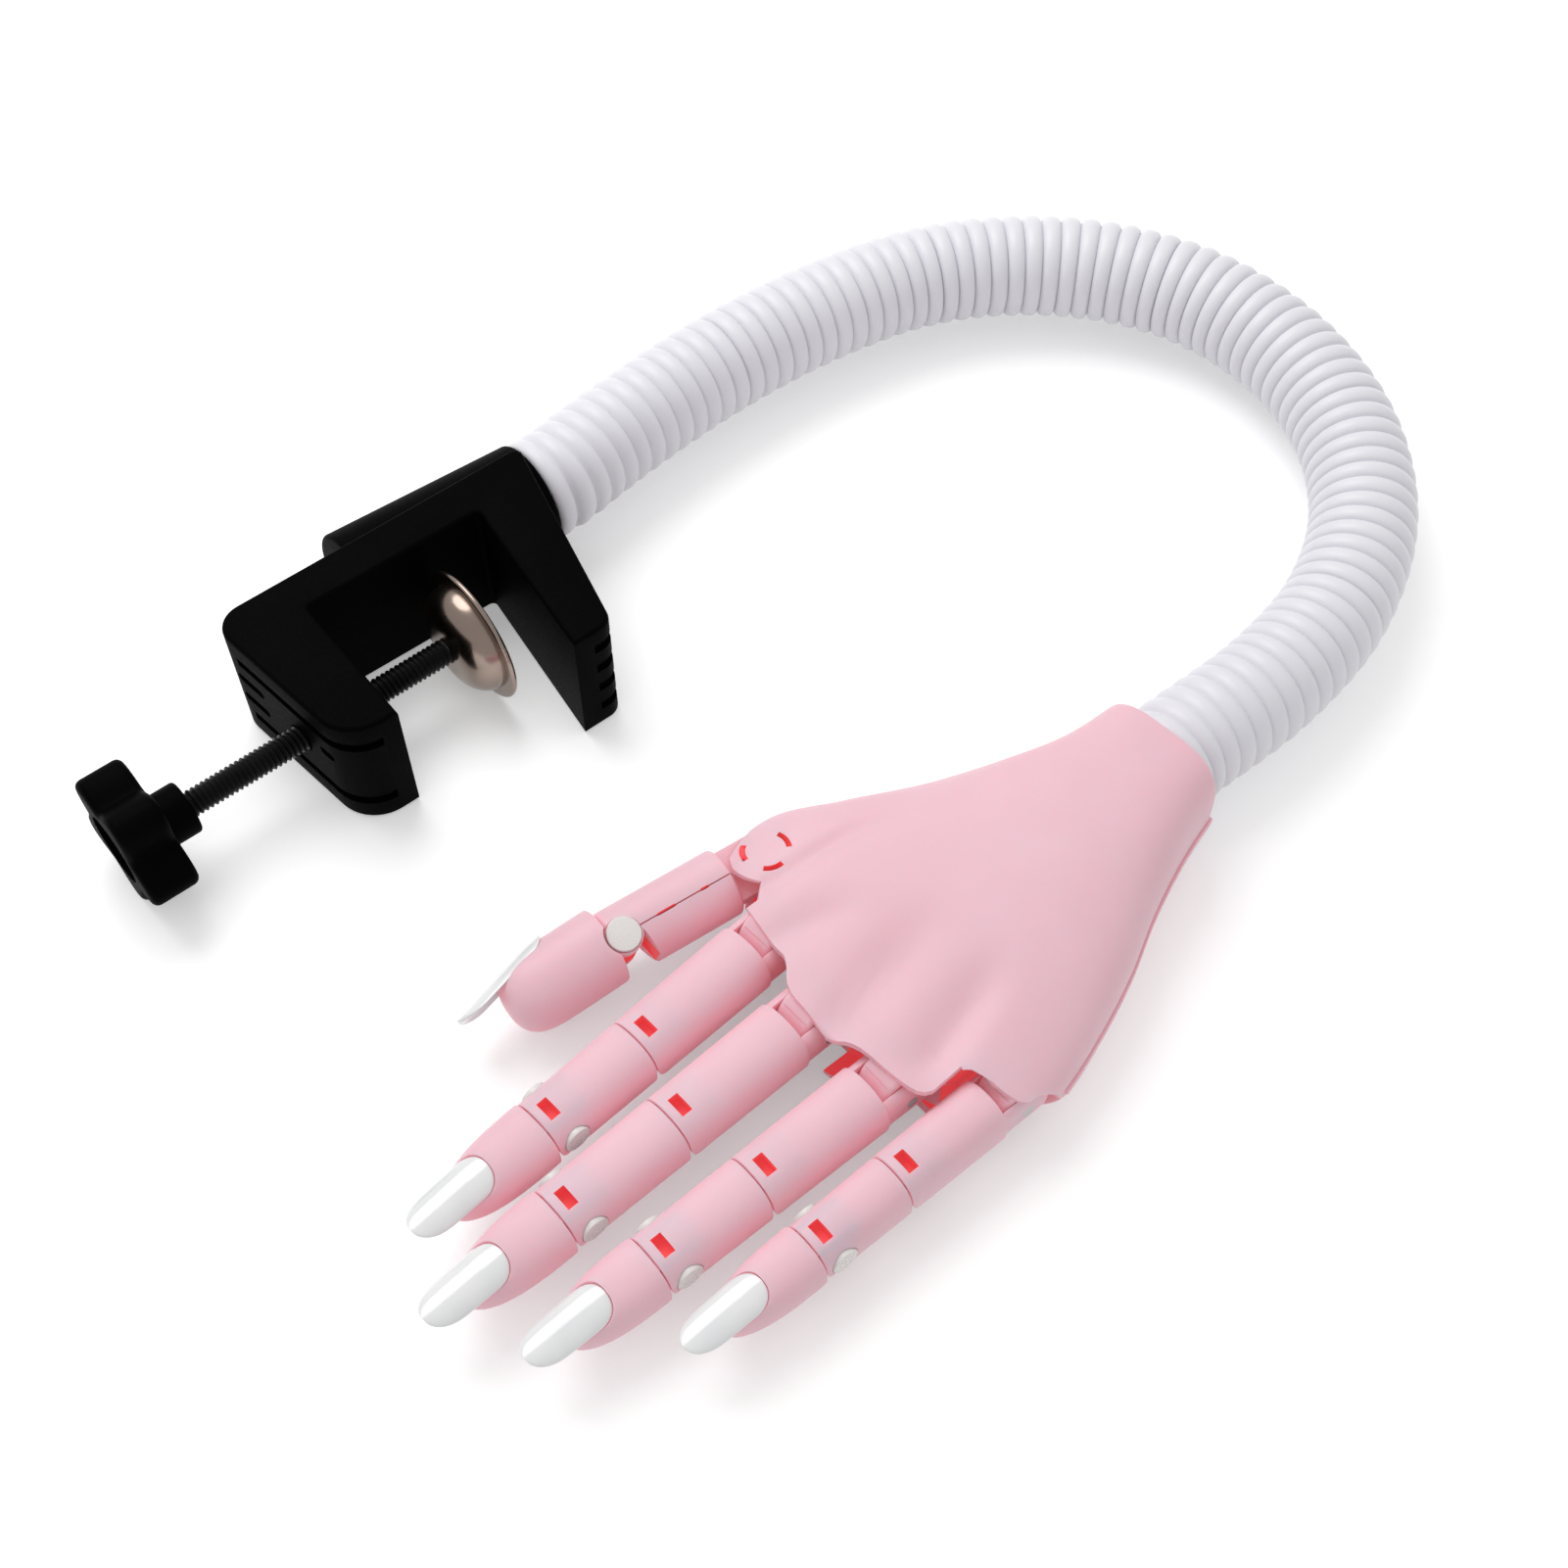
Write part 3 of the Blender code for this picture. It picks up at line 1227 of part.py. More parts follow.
def make_distal(label, parent, pin, tip, half_width, half_height, rise, nail_base):
    """The fingertip: a tongue on its hinge and a bed and slot for the nail."""
    start = HINGE_SEAM + GAP
    body = loft("body", tip_rings(pin + start, tip, pin, half_width, half_height, rise))
    body = cut(body, front_wedge())
    body = join(body, hinge_tongue(HINGE_SEAM + LUG_REACH))
    body = cut(body, pin_hole(PIN_RADIUS, FINGER_HEIGHT))
    wide = half_width * NAIL_WIDTH_SHARE
    slot = nail_sheet(
        "slot", -GAP, NAIL_LENGTH, NAIL_RADIUS + GAP, wide + GAP, NAIL_THICKNESS + 2 * GAP, GAP, False)
    above = FINGER_HEIGHT / 3
    bed_width = NAIL_BED_SHARE * wide * (NAIL_RADIUS + above) / NAIL_RADIUS
    bed = nail_sheet(
        "bed", NAIL_SLOT_LENGTH, NAIL_LENGTH, NAIL_RADIUS + above, bed_width,
        NAIL_THICKNESS + above + GAP / 2, above, False)
    for cutter in (slot, bed):
        cutter.data.transform(nail_base)
    body = cut(body, slot, bed)
    place(body, f"{label}_distal", parent, "pink_plastic")


def make_nail(label, parent, half_width):
    nail = nail_sheet(
        "nail", 0.0, NAIL_LENGTH, NAIL_RADIUS, half_width * NAIL_WIDTH_SHARE, NAIL_THICKNESS, 0.0, True)
    place(nail, f"{label}_nail", parent, "nail_white")


def make_pin(name, parent, half_length, x, z, finish="plain_steel", button=0.0, radius=PIN_RADIUS):
    """A hinge pin along local Y, with round heads set flush in both sides if asked."""
    reach = half_length - (BUTTON_SINK / 2 if button else 0.0)
    item = rod("pin", radius, (x, -reach, z), (x, reach, z), PIN_SIDES)
    if button:
        for side in (1, -1):
            item = join(item, rod(
                "button", button, (x, side * (half_length - BUTTON_SINK), z),
                (x, side * (half_length + BUTTON_PROUD), z), SCREW_SIDES))
    place(item, name, parent, finish)


def make_finger(entry, hand):
    """One finger: three phalanges, three pins and a nail."""
    label, across, yaw, seam, second_seam, tip, width, tip_width = entry
    widths = (width, tip_width)
    first_pin = seam - HINGE_SEAM
    second_pin = second_seam - HINGE_SEAM
    base = finger_matrix(label, across, yaw)
    knuckle = frame(f"{label}_knuckle_hinge", base, hand)
    half = finger_size(0.0, second_seam, *widths)[0] - LUG_INSET
    make_pin(f"{label}_knuckle_pin", knuckle, half, 0.0, 0.0)
    make_proximal(label, knuckle, first_pin, second_seam, widths)
    half = finger_size(first_pin, second_seam, *widths)[0] - LUG_INSET
    make_pin(f"{label}_middle_pin", knuckle, half, first_pin, HINGE_RISE)
    middle = frame(f"{label}_middle_hinge", base @ Matrix.Translation((first_pin, 0, HINGE_RISE)), knuckle)
    half_width, half_height = finger_size(second_seam, second_seam, *widths)
    make_middle(label, middle, first_pin, second_pin, second_seam, widths, half_width)
    make_pin(f"{label}_tip_pin", middle, half_width, second_pin - first_pin, 0.0,
             finish="white_plastic", button=BUTTON_RADIUS)
    last = frame(f"{label}_tip_hinge", base @ Matrix.Translation((second_pin, 0, HINGE_RISE)), middle)
    half_width += TIP_SWELL
    nail_base = nail_matrix(second_pin, tip, half_height, -HINGE_RISE, NAIL_SLOPE)
    make_distal(label, last, second_pin, tip, half_width, half_height, -HINGE_RISE, nail_base)
    seat = frame(f"{label}_nail_slide", last.matrix_world @ nail_base, last)
    make_nail(label, seat, half_width)


# The thumb

def make_thumb(hand):
    """The thumb: a first phalanx in two halves, a tip, two upright pins and a nail."""
    base = thumb_matrix()
    root = frame("thumb_base_hinge", base, hand)
    pin = THUMB_SEAM - HINGE_SEAM
    half_width = THUMB_WIDTH / 2
    half_depth = THUMB_DEPTH / 2
    rings = [
        oval_ring(THUMB_BODY_START + (THUMB_SEAM - THUMB_BODY_START) * i / 2, half_width, half_depth,
                  FINGER_POWER, FINGER_SIDES)
        for i in range(3)
    ]
    body = soften(loft("body", rings), PALM_EDGE_ROUND)
    eye = arc((0, 0), THUMB_EYE_RADIUS, math.pi / 2, 1.5 * math.pi, 9)
    eye += [(THUMB_EYE_REACH, -THUMB_EYE_RADIUS), (THUMB_EYE_REACH, THUMB_EYE_RADIUS)]
    half = THUMB_EYE_THICKNESS / 2 - GAP
    body = join(body, flat_solid("eye", eye, -half, half, plane="XZ"))
    body = cut(body, pin_hole(THUMB_PIN_RADIUS, FINGER_HEIGHT))
    cutters = [slot_cutter(HINGE_EYE_RADIUS), rear_wedge(), pin_hole(PIN_RADIUS, FINGER_HEIGHT * 2)]
    cutters += button_rooms(half_width, THUMB_BUTTON_RADIUS)
    for cutter in cutters:
        shifted(cutter, pin)
    body = cut(body, *cutters)
    reach = THUMB_TIP * 2
    outer = keep_inside(
        copy_of(body, "outer"), block("half", (-reach, -reach, GAP / 2), (reach, reach, reach)))
    inner = keep_inside(
        body, block("half", (-reach, -reach, -reach), (reach, reach, -GAP / 2)))
    place(outer, "thumb_proximal_outer", root, "pink_plastic")
    place(inner, "thumb_proximal_inner", root, "pink_plastic")
    make_pin("thumb_base_pin", hand_child(root, hand), THUMB_PIN_HALF, 0.0, 0.0, radius=THUMB_PIN_RADIUS)
    make_pin("thumb_tip_pin", root, half_width, pin, 0.0, finish="white_plastic", button=THUMB_BUTTON_RADIUS)
    turn = Matrix.Rotation(-(THUMB_TIP_YAW - THUMB_YAW), 4, "Y")
    tip_base = base @ Matrix.Translation((pin, 0, 0)) @ turn
    last = frame("thumb_tip_hinge", tip_base, root)
    tip_half = THUMB_TIP_WIDTH / 2
    nail_base = nail_matrix(pin, THUMB_TIP, tip_half, 0.0, THUMB_NAIL_SLOPE)
    make_distal("thumb", last, pin, THUMB_TIP, tip_half, tip_half, 0.0, nail_base)
    seat = frame("thumb_nail_slide", tip_base @ nail_base, last)
    make_nail("thumb", seat, tip_half)


def hand_child(root, hand):
    """A frame at the thumb's base pin that stays with the palm."""
    return frame("thumb_base_pin_seat", root.matrix_world.copy(), hand)


def stand_on_origin(root):
    """Move the whole part so that the middle of its box's underside is the origin."""
    bpy.context.view_layer.update()
    graph = bpy.context.evaluated_depsgraph_get()
    corners = []
    for item in PARTS.objects:
        mesh = item.evaluated_get(graph).data
        corners += [item.matrix_world @ vert.co for vert in mesh.vertices]
    low = Vector(min(c[i] for c in corners) for i in range(3))
    high = Vector(max(c[i] for c in corners) for i in range(3))
    root.location -= Vector(((low.x + high.x) / 2, (low.y + high.y) / 2, low.z))
    bpy.context.view_layer.update()


def build():
    """Make every piece, body by body, from the clamp to the fingertips."""
    root = frame("practice_hand", Matrix.Identity(4))
    clamp = frame("clamp_frame", clamp_matrix(), root)
    make_clamp_body(clamp)
    make_clamp_nut(clamp)
    pad_slide = frame("pad_slide", clamp_matrix(), clamp)
    make_pad(pad_slide)
    screw_turn = frame("screw_turn", clamp_matrix(), pad_slide)
    make_screw(screw_turn)
    make_pad_ball(screw_turn)
    make_knob(screw_turn)
    route = Route()
    joints = joint_places(route)
    carrier = clamp
    for number in range(1, LINK_COUNT + 1):
        origin = clamp_matrix().translation
        if number == 1:
            carrier = frame("neck_foot", Matrix.Translation(origin), clamp)
        else:
            spot = joints[number - 2]
            origin = route.at(spot)
            carrier = frame(f"neck_joint_{number - 1}", Matrix.Translation(origin), carrier)
        make_sleeve(route, number, carrier, origin)
        make_link(route, number, carrier, origin)
    hand = frame("hand_frame", Matrix.Identity(4), carrier)
    make_palm(hand)
    make_palm_screws(hand)
    for entry in FINGERS:
        make_finger(entry, hand)
    make_thumb(hand)
    stand_on_origin(root)


clear_scene()
PARTS = make_collection("nail_practice_hand")
GUIDES = make_collection("guides")
FINISH = {name: make_finish(name, *values) for name, values in FINISHES.items()}
build()
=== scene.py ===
"""Looks of a nail practice hand: a jointed pink hand, a ribbed white gooseneck, a black clamp.

Lengths are in metres, +Z is up and the object stands on z = 0. Every piece is worked out in the
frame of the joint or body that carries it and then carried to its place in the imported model.
"""

import json
import math

import bmesh
import bpy
import numpy as np
from mathutils import Matrix, Vector


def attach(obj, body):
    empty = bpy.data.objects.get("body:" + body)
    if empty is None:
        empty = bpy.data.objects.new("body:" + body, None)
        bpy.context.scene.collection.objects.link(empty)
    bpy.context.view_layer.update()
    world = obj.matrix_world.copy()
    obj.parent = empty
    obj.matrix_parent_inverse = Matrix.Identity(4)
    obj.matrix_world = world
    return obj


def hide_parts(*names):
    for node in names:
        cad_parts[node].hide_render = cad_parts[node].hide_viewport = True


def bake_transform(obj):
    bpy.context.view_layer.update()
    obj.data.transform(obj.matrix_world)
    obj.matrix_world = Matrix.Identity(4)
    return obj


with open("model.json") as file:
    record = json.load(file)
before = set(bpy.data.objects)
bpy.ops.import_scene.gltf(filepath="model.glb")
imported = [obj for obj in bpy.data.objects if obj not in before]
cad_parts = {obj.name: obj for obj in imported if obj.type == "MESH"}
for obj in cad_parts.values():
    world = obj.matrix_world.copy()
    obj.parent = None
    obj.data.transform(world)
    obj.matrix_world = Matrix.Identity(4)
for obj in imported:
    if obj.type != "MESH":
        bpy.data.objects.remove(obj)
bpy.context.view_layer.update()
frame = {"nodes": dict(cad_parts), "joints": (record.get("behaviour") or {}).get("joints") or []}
JOINTS = {joint["name"]: joint for joint in frame["joints"]}

# Camera of the photograph: place, looking direction, and lens and sensor in millimetres
CAMERA_PLACE = (-0.20924, -0.19380, 0.38950)
CAMERA_ELEVATION = math.radians(56.0)
CAMERA_HEADING = math.radians(45.0)
CAMERA_LENS = 48.35
CAMERA_SENSOR = 36.0
CAMERA_CLIP = (0.01, 20.0)

# Floor, sky and key lamp
WHITE = (1, 1, 1, 1)
FLOOR_REACH = 4
FLOOR_COLOUR = (0.90, 0.90, 0.90, 1)
FLOOR_GLOW = 0.30
SKY_LIGHT = 0.66
KEY_SIZE = 0.80
KEY_ENERGY = 5.2
KEY_PLACE = (0.05, 0.55, 0.85)
KEY_TARGET = (0, -0.02, 0)

# Light in thin plastic: how far it scatters, and the reach of the test for hidden spots, which get
# a painted red glow
SCATTER_RADIUS = (1.0, 0.35, 0.30)
SCATTER_SCALE = 0.0035
PAINTED_GLOW_REACH = 0.015

# Noise values between which the colours and the roughness change
PATCH_SPAN = (0.35, 0.65)
GRAIN_SPAN = (0.3, 0.7)

# Fineness of the surfaces
SIDES = 56
ROUND_STEPS = 4
SHARP_ANGLE = math.radians(32.0)
SOFT_ANGLE = math.radians(60.0)
WELD = 0.000004
GAP = 0.0003
OVERRUN = 0.002

# Fingers: seams and tips from the knuckle pin, widths at the base and the tip
FINGERS = {
    "index": (0.0369, 0.0621, 0.0848, 0.0147, 0.0132),
    "middle": (0.0368, 0.0649, 0.0872, 0.0149, 0.0134),
    "ring": (0.0354, 0.0600, 0.0805, 0.0145, 0.0130),
    "little": (0.0307, 0.0521, 0.0734, 0.0131, 0.0118),
}
FINGER_HEIGHT = 0.0146
FINGER_TIP_HEIGHT = 0.0126
FINGER_POWER = 2.4
RIM_ROUND = 0.0003
KNUCKLE_RADIUS = 0.0061
KNUCKLE_HEIGHT = 0.0074
KNUCKLE_EDGE = 0.0011
KNUCKLE_CREASE_TURN = math.radians(55.3)
KNUCKLE_CREASE_RADIUS = 0.0069
KNUCKLE_CREASE = 0.00024
TONGUE_WIDTH = 0.0082
TONGUE_LENGTH = 0.0150
TONGUE_DROP = 0.0030
TONGUE_WRAP = math.radians(112.0)
KNUCKLE_BEND = math.radians(70)
KNUCKLE_LIFT = math.radians(10)
LUG_RADIUS = 0.0056
LUG_START = 0.0043
LUG_REACH = 0.0030
LUG_INSET = 0.0007
LUG_POWER = 3.4
LUG_EDGE = 0.0009
LUG_EDGE_SHARE = 0.4
LUG_CLEARANCE = 0.0004
ROOM_OUTER_REACH = 0.0060
PIN_RADIUS = 0.0015
PIN_PROUD = 0.0001
BUTTON_RADIUS = 0.0030
BUTTON_PROUD = 0.0003
CAP_DEPTH = 0.0012
HINGE_EYE_RADIUS = 0.0042
HINGE_SEAM = 0.0043
HINGE_RISE = 0.0008
HINGE_TONGUE_WIDTH = 0.0062
HINGE_SLOT_DEPTH = 0.0052
WINDOW_WIDTH = 0.0046
WINDOW_LENGTH = 0.0024
WINDOW_BACK = 0.0031
REAR_RELIEF = math.radians(38.0)
FRONT_RELIEF = math.radians(45.0)
TIP_POWER = 3.0
TIP_END_SHARE = 0.16
TIP_SWELL = 0.0004
TIP_DROP_SHARE = 0.30
TIP_STEPS = 26

# Nails
NAIL_LENGTH = 0.0186
NAIL_SHOWING = 0.0085
NAIL_SLOPE = math.radians(5.0)
NAIL_RADIUS = 0.0078
NAIL_THICKNESS = 0.0012
NAIL_ROOT_THICKNESS_SHARE = 0.35
NAIL_WIDTH_SHARE = 0.77
NAIL_TOP_DROP = 0.0004
NAIL_ROOT_ROUND = 0.0046
NAIL_ROOT_POWER = 2.2
NAIL_TIP_ROUND = 0.0068
NAIL_TIP_POWER = 2.4
NAIL_EDGE_POWER = 2.6
NAIL_END_SHARE = 0.10
NAIL_TAPER_SHARE = 0.10
NAIL_STEPS = 36
NAIL_SIDES = 40

# Thumb
THUMB_WIDTH = 0.0142
THUMB_DEPTH = 0.0152
THUMB_EDGE = 0.0008
THUMB_TIP_WIDTH = 0.0172
THUMB_HEADING = math.radians(11.0)
THUMB_TIP_TURN = math.radians(3.6)
THUMB_TIP_RISE = 0.0009
THUMB_NAIL_LIFT = 0.0018
THUMB_TIP_REACH = 0.0009
THUMB_POWER = 2.1
THUMB_END_POWER = 8.0
THUMB_DROP_SHARE = 0.0
THUMB_TIP_SEAM = 0.0026
THUMB_CHEEK_RADIUS = 0.0044
THUMB_RELIEF_TURN = math.radians(11.0)
THUMB_RELIEF_LEAN = math.radians(11.0)
THUMB_NAIL_SLOPE = math.radians(15.0)
THUMB_NAIL_LENGTH = 0.0240
THUMB_NAIL_SHOWING = 0.0105
THUMB_NAIL_RADIUS = 0.0088
THUMB_NAIL_WIDTH_SHARE = 0.74
THUMB_SPLIT_SLOTS = [(0.0236, 0.0043), (0.0143, 0.0018)]
THUMB_SPLIT_SLOT_WIDTH = 0.0006
THUMB_SPLIT_SLOT_DEPTH = 0.0012
THUMB_EYE_RADIUS = 0.0058
THUMB_EYE_THICKNESS = 0.0082
THUMB_EYE_REACH = 0.0150
THUMB_BODY_START = 0.0078
THUMB_SEAM = 0.0381
THUMB_TIP = 0.0600
THUMB_PIN_RADIUS = 0.0020
THUMB_PIN_HALF = 0.0063
THUMB_BUTTON_RADIUS = 0.0037
THUMB_POCKET_SWING = math.radians(34.0)
THUMB_SWING = (math.radians(4.0), math.radians(30.0))
BOSS_RADIUS = 0.0072
BOSS_SLOT_RADIUS = 0.0044
BOSS_SLOT_WIDTH = 0.0011
BOSS_SLOT_SPAN = math.radians(52.0)
BOSS_SLOT_TURNS = [math.radians(32.0), math.radians(183.0), math.radians(287.0)]
BOSS_SLOT_DEPTH = 0.0060

# Palm, from the wrist to the knuckles
WRIST = np.array([0.02836, -0.06980, 0.01650])
WRIST_SLEEVE_DEPTH = 0.0100
WRIST_SOCKET_DEPTH = 0.0240
PALM_LENGTH = 0.0976
PALM_WIDTH = 0.0840
PALM_HEIGHT = 0.0322
PALM_FLOOR = 0.0005
PALM_SPLIT = 0.0140
PALM_EDGE = 0.0012
PALM_POWER_STATIONS = [(0.0, 3.3), (0.3, 2.6), (0.7, 2.5), (1.0, 3.1)]
PALM_STATIONS = 110
PALM_SIDES = 180
PALM_STATION_SHARES = np.array([
    (0.000, 0.179, -0.179, 0.016, 0.972),
    (0.130, 0.210, -0.210, 0.012, 0.960),
    (0.286, 0.296, -0.265, 0.000, 0.935),
    (0.430, 0.386, -0.331, 0.000, 0.915),
    (0.576, 0.504, -0.381, 0.000, 0.870),
    (0.700, 0.599, -0.413, 0.000, 0.810),
    (0.824, 0.593, -0.426, 0.010, 0.735),
    (0.917, 0.519, -0.406, 0.030, 0.680),
    (1.000, 0.410, -0.370, 0.060, 0.630),
])
# Valleys pressed in the back of the hand: start and end as shares of length and width, half width
# as a share of the width, and depth as a share of the height
VALLEY_SHARES = [
    ((0.960, 0.050), (0.660, 0.070), 0.050, 0.058),
    ((0.880, -0.165), (0.620, -0.115), 0.052, 0.070),
    ((0.930, 0.315), (0.730, 0.235), 0.048, 0.034),
    ((0.880, 0.440), (0.400, 0.310), 0.028, 0.034),
]
VALLEY_START_SLOPE = 3.0
VALLEY_FADE_END = 1.1
VALLEY_FADE_SPAN = 0.75
VALLEY_SIDE_SLOPE = 3.0
# The back shell's front edge from the little finger's side to the thumb's, as shares
FRONT_EDGE_SHARES = [
    (0.735, -0.560), (0.748, -0.470), (0.800, -0.405), (0.838, -0.371), (0.849, -0.284),
    (0.862, -0.234), (0.957, -0.226), (0.974, -0.147), (0.973, -0.007), (1.003, 0.040),
    (0.992, 0.105), (0.984, 0.204), (0.934, 0.256), (0.930, 0.304), (0.905, 0.440),
    (0.852, 0.540), (0.800, 0.640),
]
PALM_LOW_POWER = 3.6
PALM_SKIN = 0.0018
PALM_RIM_PROUD = 0.0006
PALM_RIM_HEIGHT = 0.0018
PALM_RIM_REACH_SHARE = 0.72
PALM_HOLLOW_SHARE = 0.070
PALM_HOLLOW_STRETCH = 1.05
PALM_SCREW_SHARES = [(0.37, 0.06), (0.60, -0.21), (0.61, 0.27)]
PALM_SCREW_HEAD_RADIUS = 0.0027
PALM_SCREW_ROOM = 0.0042

# Clamp: local X along the screw, local Y from the mouth to the spine
CLAMP_THICKNESS = 0.0330
CLAMP_EDGE_ROUND = 0.0010
SCREW_JAW_TIP_WIDTH = 0.0131
SCREW_JAW_ROOT_WIDTH = 0.0187
MOUTH_START = 0.0159
SCREW_JAW_REACH = 0.0188
FIXED_JAW_TIP_WIDTH = 0.0103
FIXED_JAW_ROOT_WIDTH = 0.0183
FIXED_JAW_REACH = 0.0276
FIXED_JAW_LEAN = 0.0056
MOUTH_WIDTH = 0.0446
SPINE_OUTER = 0.0272
SPINE_THICKNESS_SCREW_END = 0.0100
SPINE_THICKNESS_SOCKET_END = 0.0106
SCREW_JAW_CORNER = 0.0100
SPINE_CORNER = 0.0062
MOUTH_CORNER = 0.0012
SOCKET_END_CORNER = 0.0018
FIXED_JAW_CORNER = 0.0040
NOTCH_COUNT = 4
NOTCH_WIDTH = 0.0028
NOTCH_DEPTH = 0.0010
NOTCH_LENGTH = 0.0052
NOTCH_RISE = 0.0060
NOTCH_PITCH = 0.0068
GROOVE_WIDTH = 0.0026
GROOVE_DEPTH = 0.0013
GROOVE_RISE = 0.0098
GROOVE_START = 0.0190
GROOVE_TIP_SHARE = 0.35
SHORT_GROOVE_LENGTH = 0.0090
SHORT_GROOVE_RISE = 0.0034
SHORT_GROOVE_PLACE = 0.0118
SOCKET_START = 0.0315
SOCKET_END = 0.0800
SOCKET_OFFSET = 0.0264
SOCKET_RADIUS = 0.0149
SOCKET_MOUTH_RADIUS = 0.0127
SOCKET_DEPTH = 0.0320
NECK_STRAIGHT_END = 0.0060

# Screw, knob and pad
SCREW_RADIUS = 0.0031
SCREW_PITCH = 0.0012
SCREW_THREAD_DEPTH = 0.0005
SCREW_CLEARANCE = 0.00035
THREAD_ROWS = 10
THREAD_SIDES = 32
THREAD_POWER = 0.8
HUB_RADIUS = 0.0061
HUB_LENGTH = 0.0066
HUB_START = -0.0276
HUB_EDGE = 0.0008
KNOB_RADIUS = 0.0162
KNOB_VALLEY_RADIUS = 0.0112
KNOB_THICKNESS = 0.0110
KNOB_LOBES = 5
KNOB_TURN = math.radians(25.5)
KNOB_LOBE_POWER = 0.8
KNOB_LOBE_STEPS = 24
KNOB_EDGE = 0.0016
KNOB_RECESS_RADIUS = 0.0082
KNOB_RECESS_DEPTH = 0.0040
PAD_RADIUS = 0.0162
PAD_FACE = 0.0462
PAD_RIM = 0.0014
PAD_DOME_RADIUS = 0.0132
PAD_DOME_HEIGHT = 0.0068
PAD_NECK_RADIUS = 0.0056
PAD_SIDES = 96

# Neck
SLEEVE_RADIUS = 0.0125
SLEEVE_VALLEY_RADIUS = 0.0109
RIB_COUNT = 78
RIB_STEPS = 12
RIB_POWER = 2.0
LINK_COUNT = 7
ROUTE_STEP = 0.0005
ROUTE_SHIFT = np.array([-0.00424, -0.00380])
NECK_ROUTE = np.array([
    (0.0172, 0.0886), (0.0490, 0.0876), (0.0805, 0.0827), (0.1074, 0.0737),
    (0.1279, 0.0593), (0.1431, 0.0406), (0.1520, 0.0178), (0.1517, -0.0084),
    (0.1415, -0.0341), (0.1221, -0.0543), (0.0959, -0.0661), (0.0678, -0.0688),
])

WORKSHOP = bpy.data.collections.new("workshop")
bpy.context.scene.collection.children.link(WORKSHOP)


# Materials

def set_inputs(node, values):
    """Give inputs of a node, by name or number, their values."""
    for name, value in values.items():
        node.inputs[name].default_value = value


def add_node(tree, kind, values=None, **settings):
    """A new node with its settings and the values of its inputs."""
    node = tree.nodes.new(kind)
    for name, value in settings.items():
        setattr(node, name, value)
    set_inputs(node, values or {})
    return node


def link_up(tree, *rows):
    """Links between nodes, each row an output's node and name and an input's node and name."""
    for source, result, target, given in rows:
        tree.links.new(source.outputs[result], target.inputs[given])


def make_group(name, given, results):
    """An empty node group with sockets from rows of name and kind, and its two end nodes."""
    group = bpy.data.node_groups.new(name, "ShaderNodeTree")
    for side, rows in (("INPUT", given), ("OUTPUT", results)):
        for label, kind in rows:
            group.interface.new_socket(label, in_out=side, socket_type=kind)
    return group, add_node(group, "NodeGroupInput"), add_node(group, "NodeGroupOutput")


def make_grain_group():
    """Moulded plastic: cloudy tone and roughness from wide noise, a fine skin from tight noise."""
    group, given, result = make_group("moulded_grain", [
        ("Colour", "NodeSocketColor"), ("Second colour", "NodeSocketColor"),
        ("Patch scale", "NodeSocketFloat"), ("Grain scale", "NodeSocketFloat"),
        ("Grain height", "NodeSocketFloat"), ("Low roughness", "NodeSocketFloat"),
        ("High roughness", "NodeSocketFloat"),
    ], [("Colour", "NodeSocketColor"), ("Roughness", "NodeSocketFloat"),
        ("Normal", "NodeSocketVector")])
    place = add_node(group, "ShaderNodeTexCoord")
    patch = add_node(group, "ShaderNodeTexNoise", {"Detail": 3.0})
    grain = add_node(group, "ShaderNodeTexNoise", {"Detail": 2.0})
    mix = add_node(group, "ShaderNodeMix", data_type="RGBA")
    spread, rough = [
        add_node(group, "ShaderNodeMapRange", {"From Min": low, "From Max": high})
        for low, high in (PATCH_SPAN, GRAIN_SPAN)]
    bump = add_node(group, "ShaderNodeBump", {"Strength": 0.5})
    link_up(group,
            (place, "Object", patch, "Vector"), (place, "Object", grain, "Vector"),
            (given, "Patch scale", patch, "Scale"), (given, "Grain scale", grain, "Scale"),
            (patch, "Fac", spread, "Value"), (spread, "Result", mix, "Factor"),
            (given, "Colour", mix, "A"), (given, "Second colour", mix, "B"),
            (mix, "Result", result, "Colour"), (grain, "Fac", rough, "Value"),
            (given, "Low roughness", rough, "To Min"), (given, "High roughness", rough, "To Max"),
            (rough, "Result", result, "Roughness"), (grain, "Fac", bump, "Height"),
            (given, "Grain height", bump, "Distance"), (bump, "Normal", result, "Normal"))
    return group


def make_painted_glow_mask_group():
    """Mask of the painted glow: how hidden a camera-seen spot is from light round it, 0 in the open
    to 1 in a deep gap.
    """
    group, given, result = make_group(
        "painted_glow_mask", [("Reach", "NodeSocketFloat")], [("Share", "NodeSocketFloat")])
    open_share = add_node(group, "ShaderNodeAmbientOcclusion", samples=4)
    rest = add_node(group, "ShaderNodeMath", {0: 1.0}, operation="SUBTRACT")
    path = add_node(group, "ShaderNodeLightPath")
    seen = add_node(group, "ShaderNodeMath", operation="MULTIPLY")
    link_up(group, (given, "Reach", open_share, "Distance"), (open_share, "AO", rest, 1),
            (rest, 0, seen, 0), (path, "Is Camera Ray", seen, 1), (seen, 0, result, "Share"))
    return group


GRAIN = make_grain_group()
PAINTED_GLOW_MASK = make_painted_glow_mask_group()


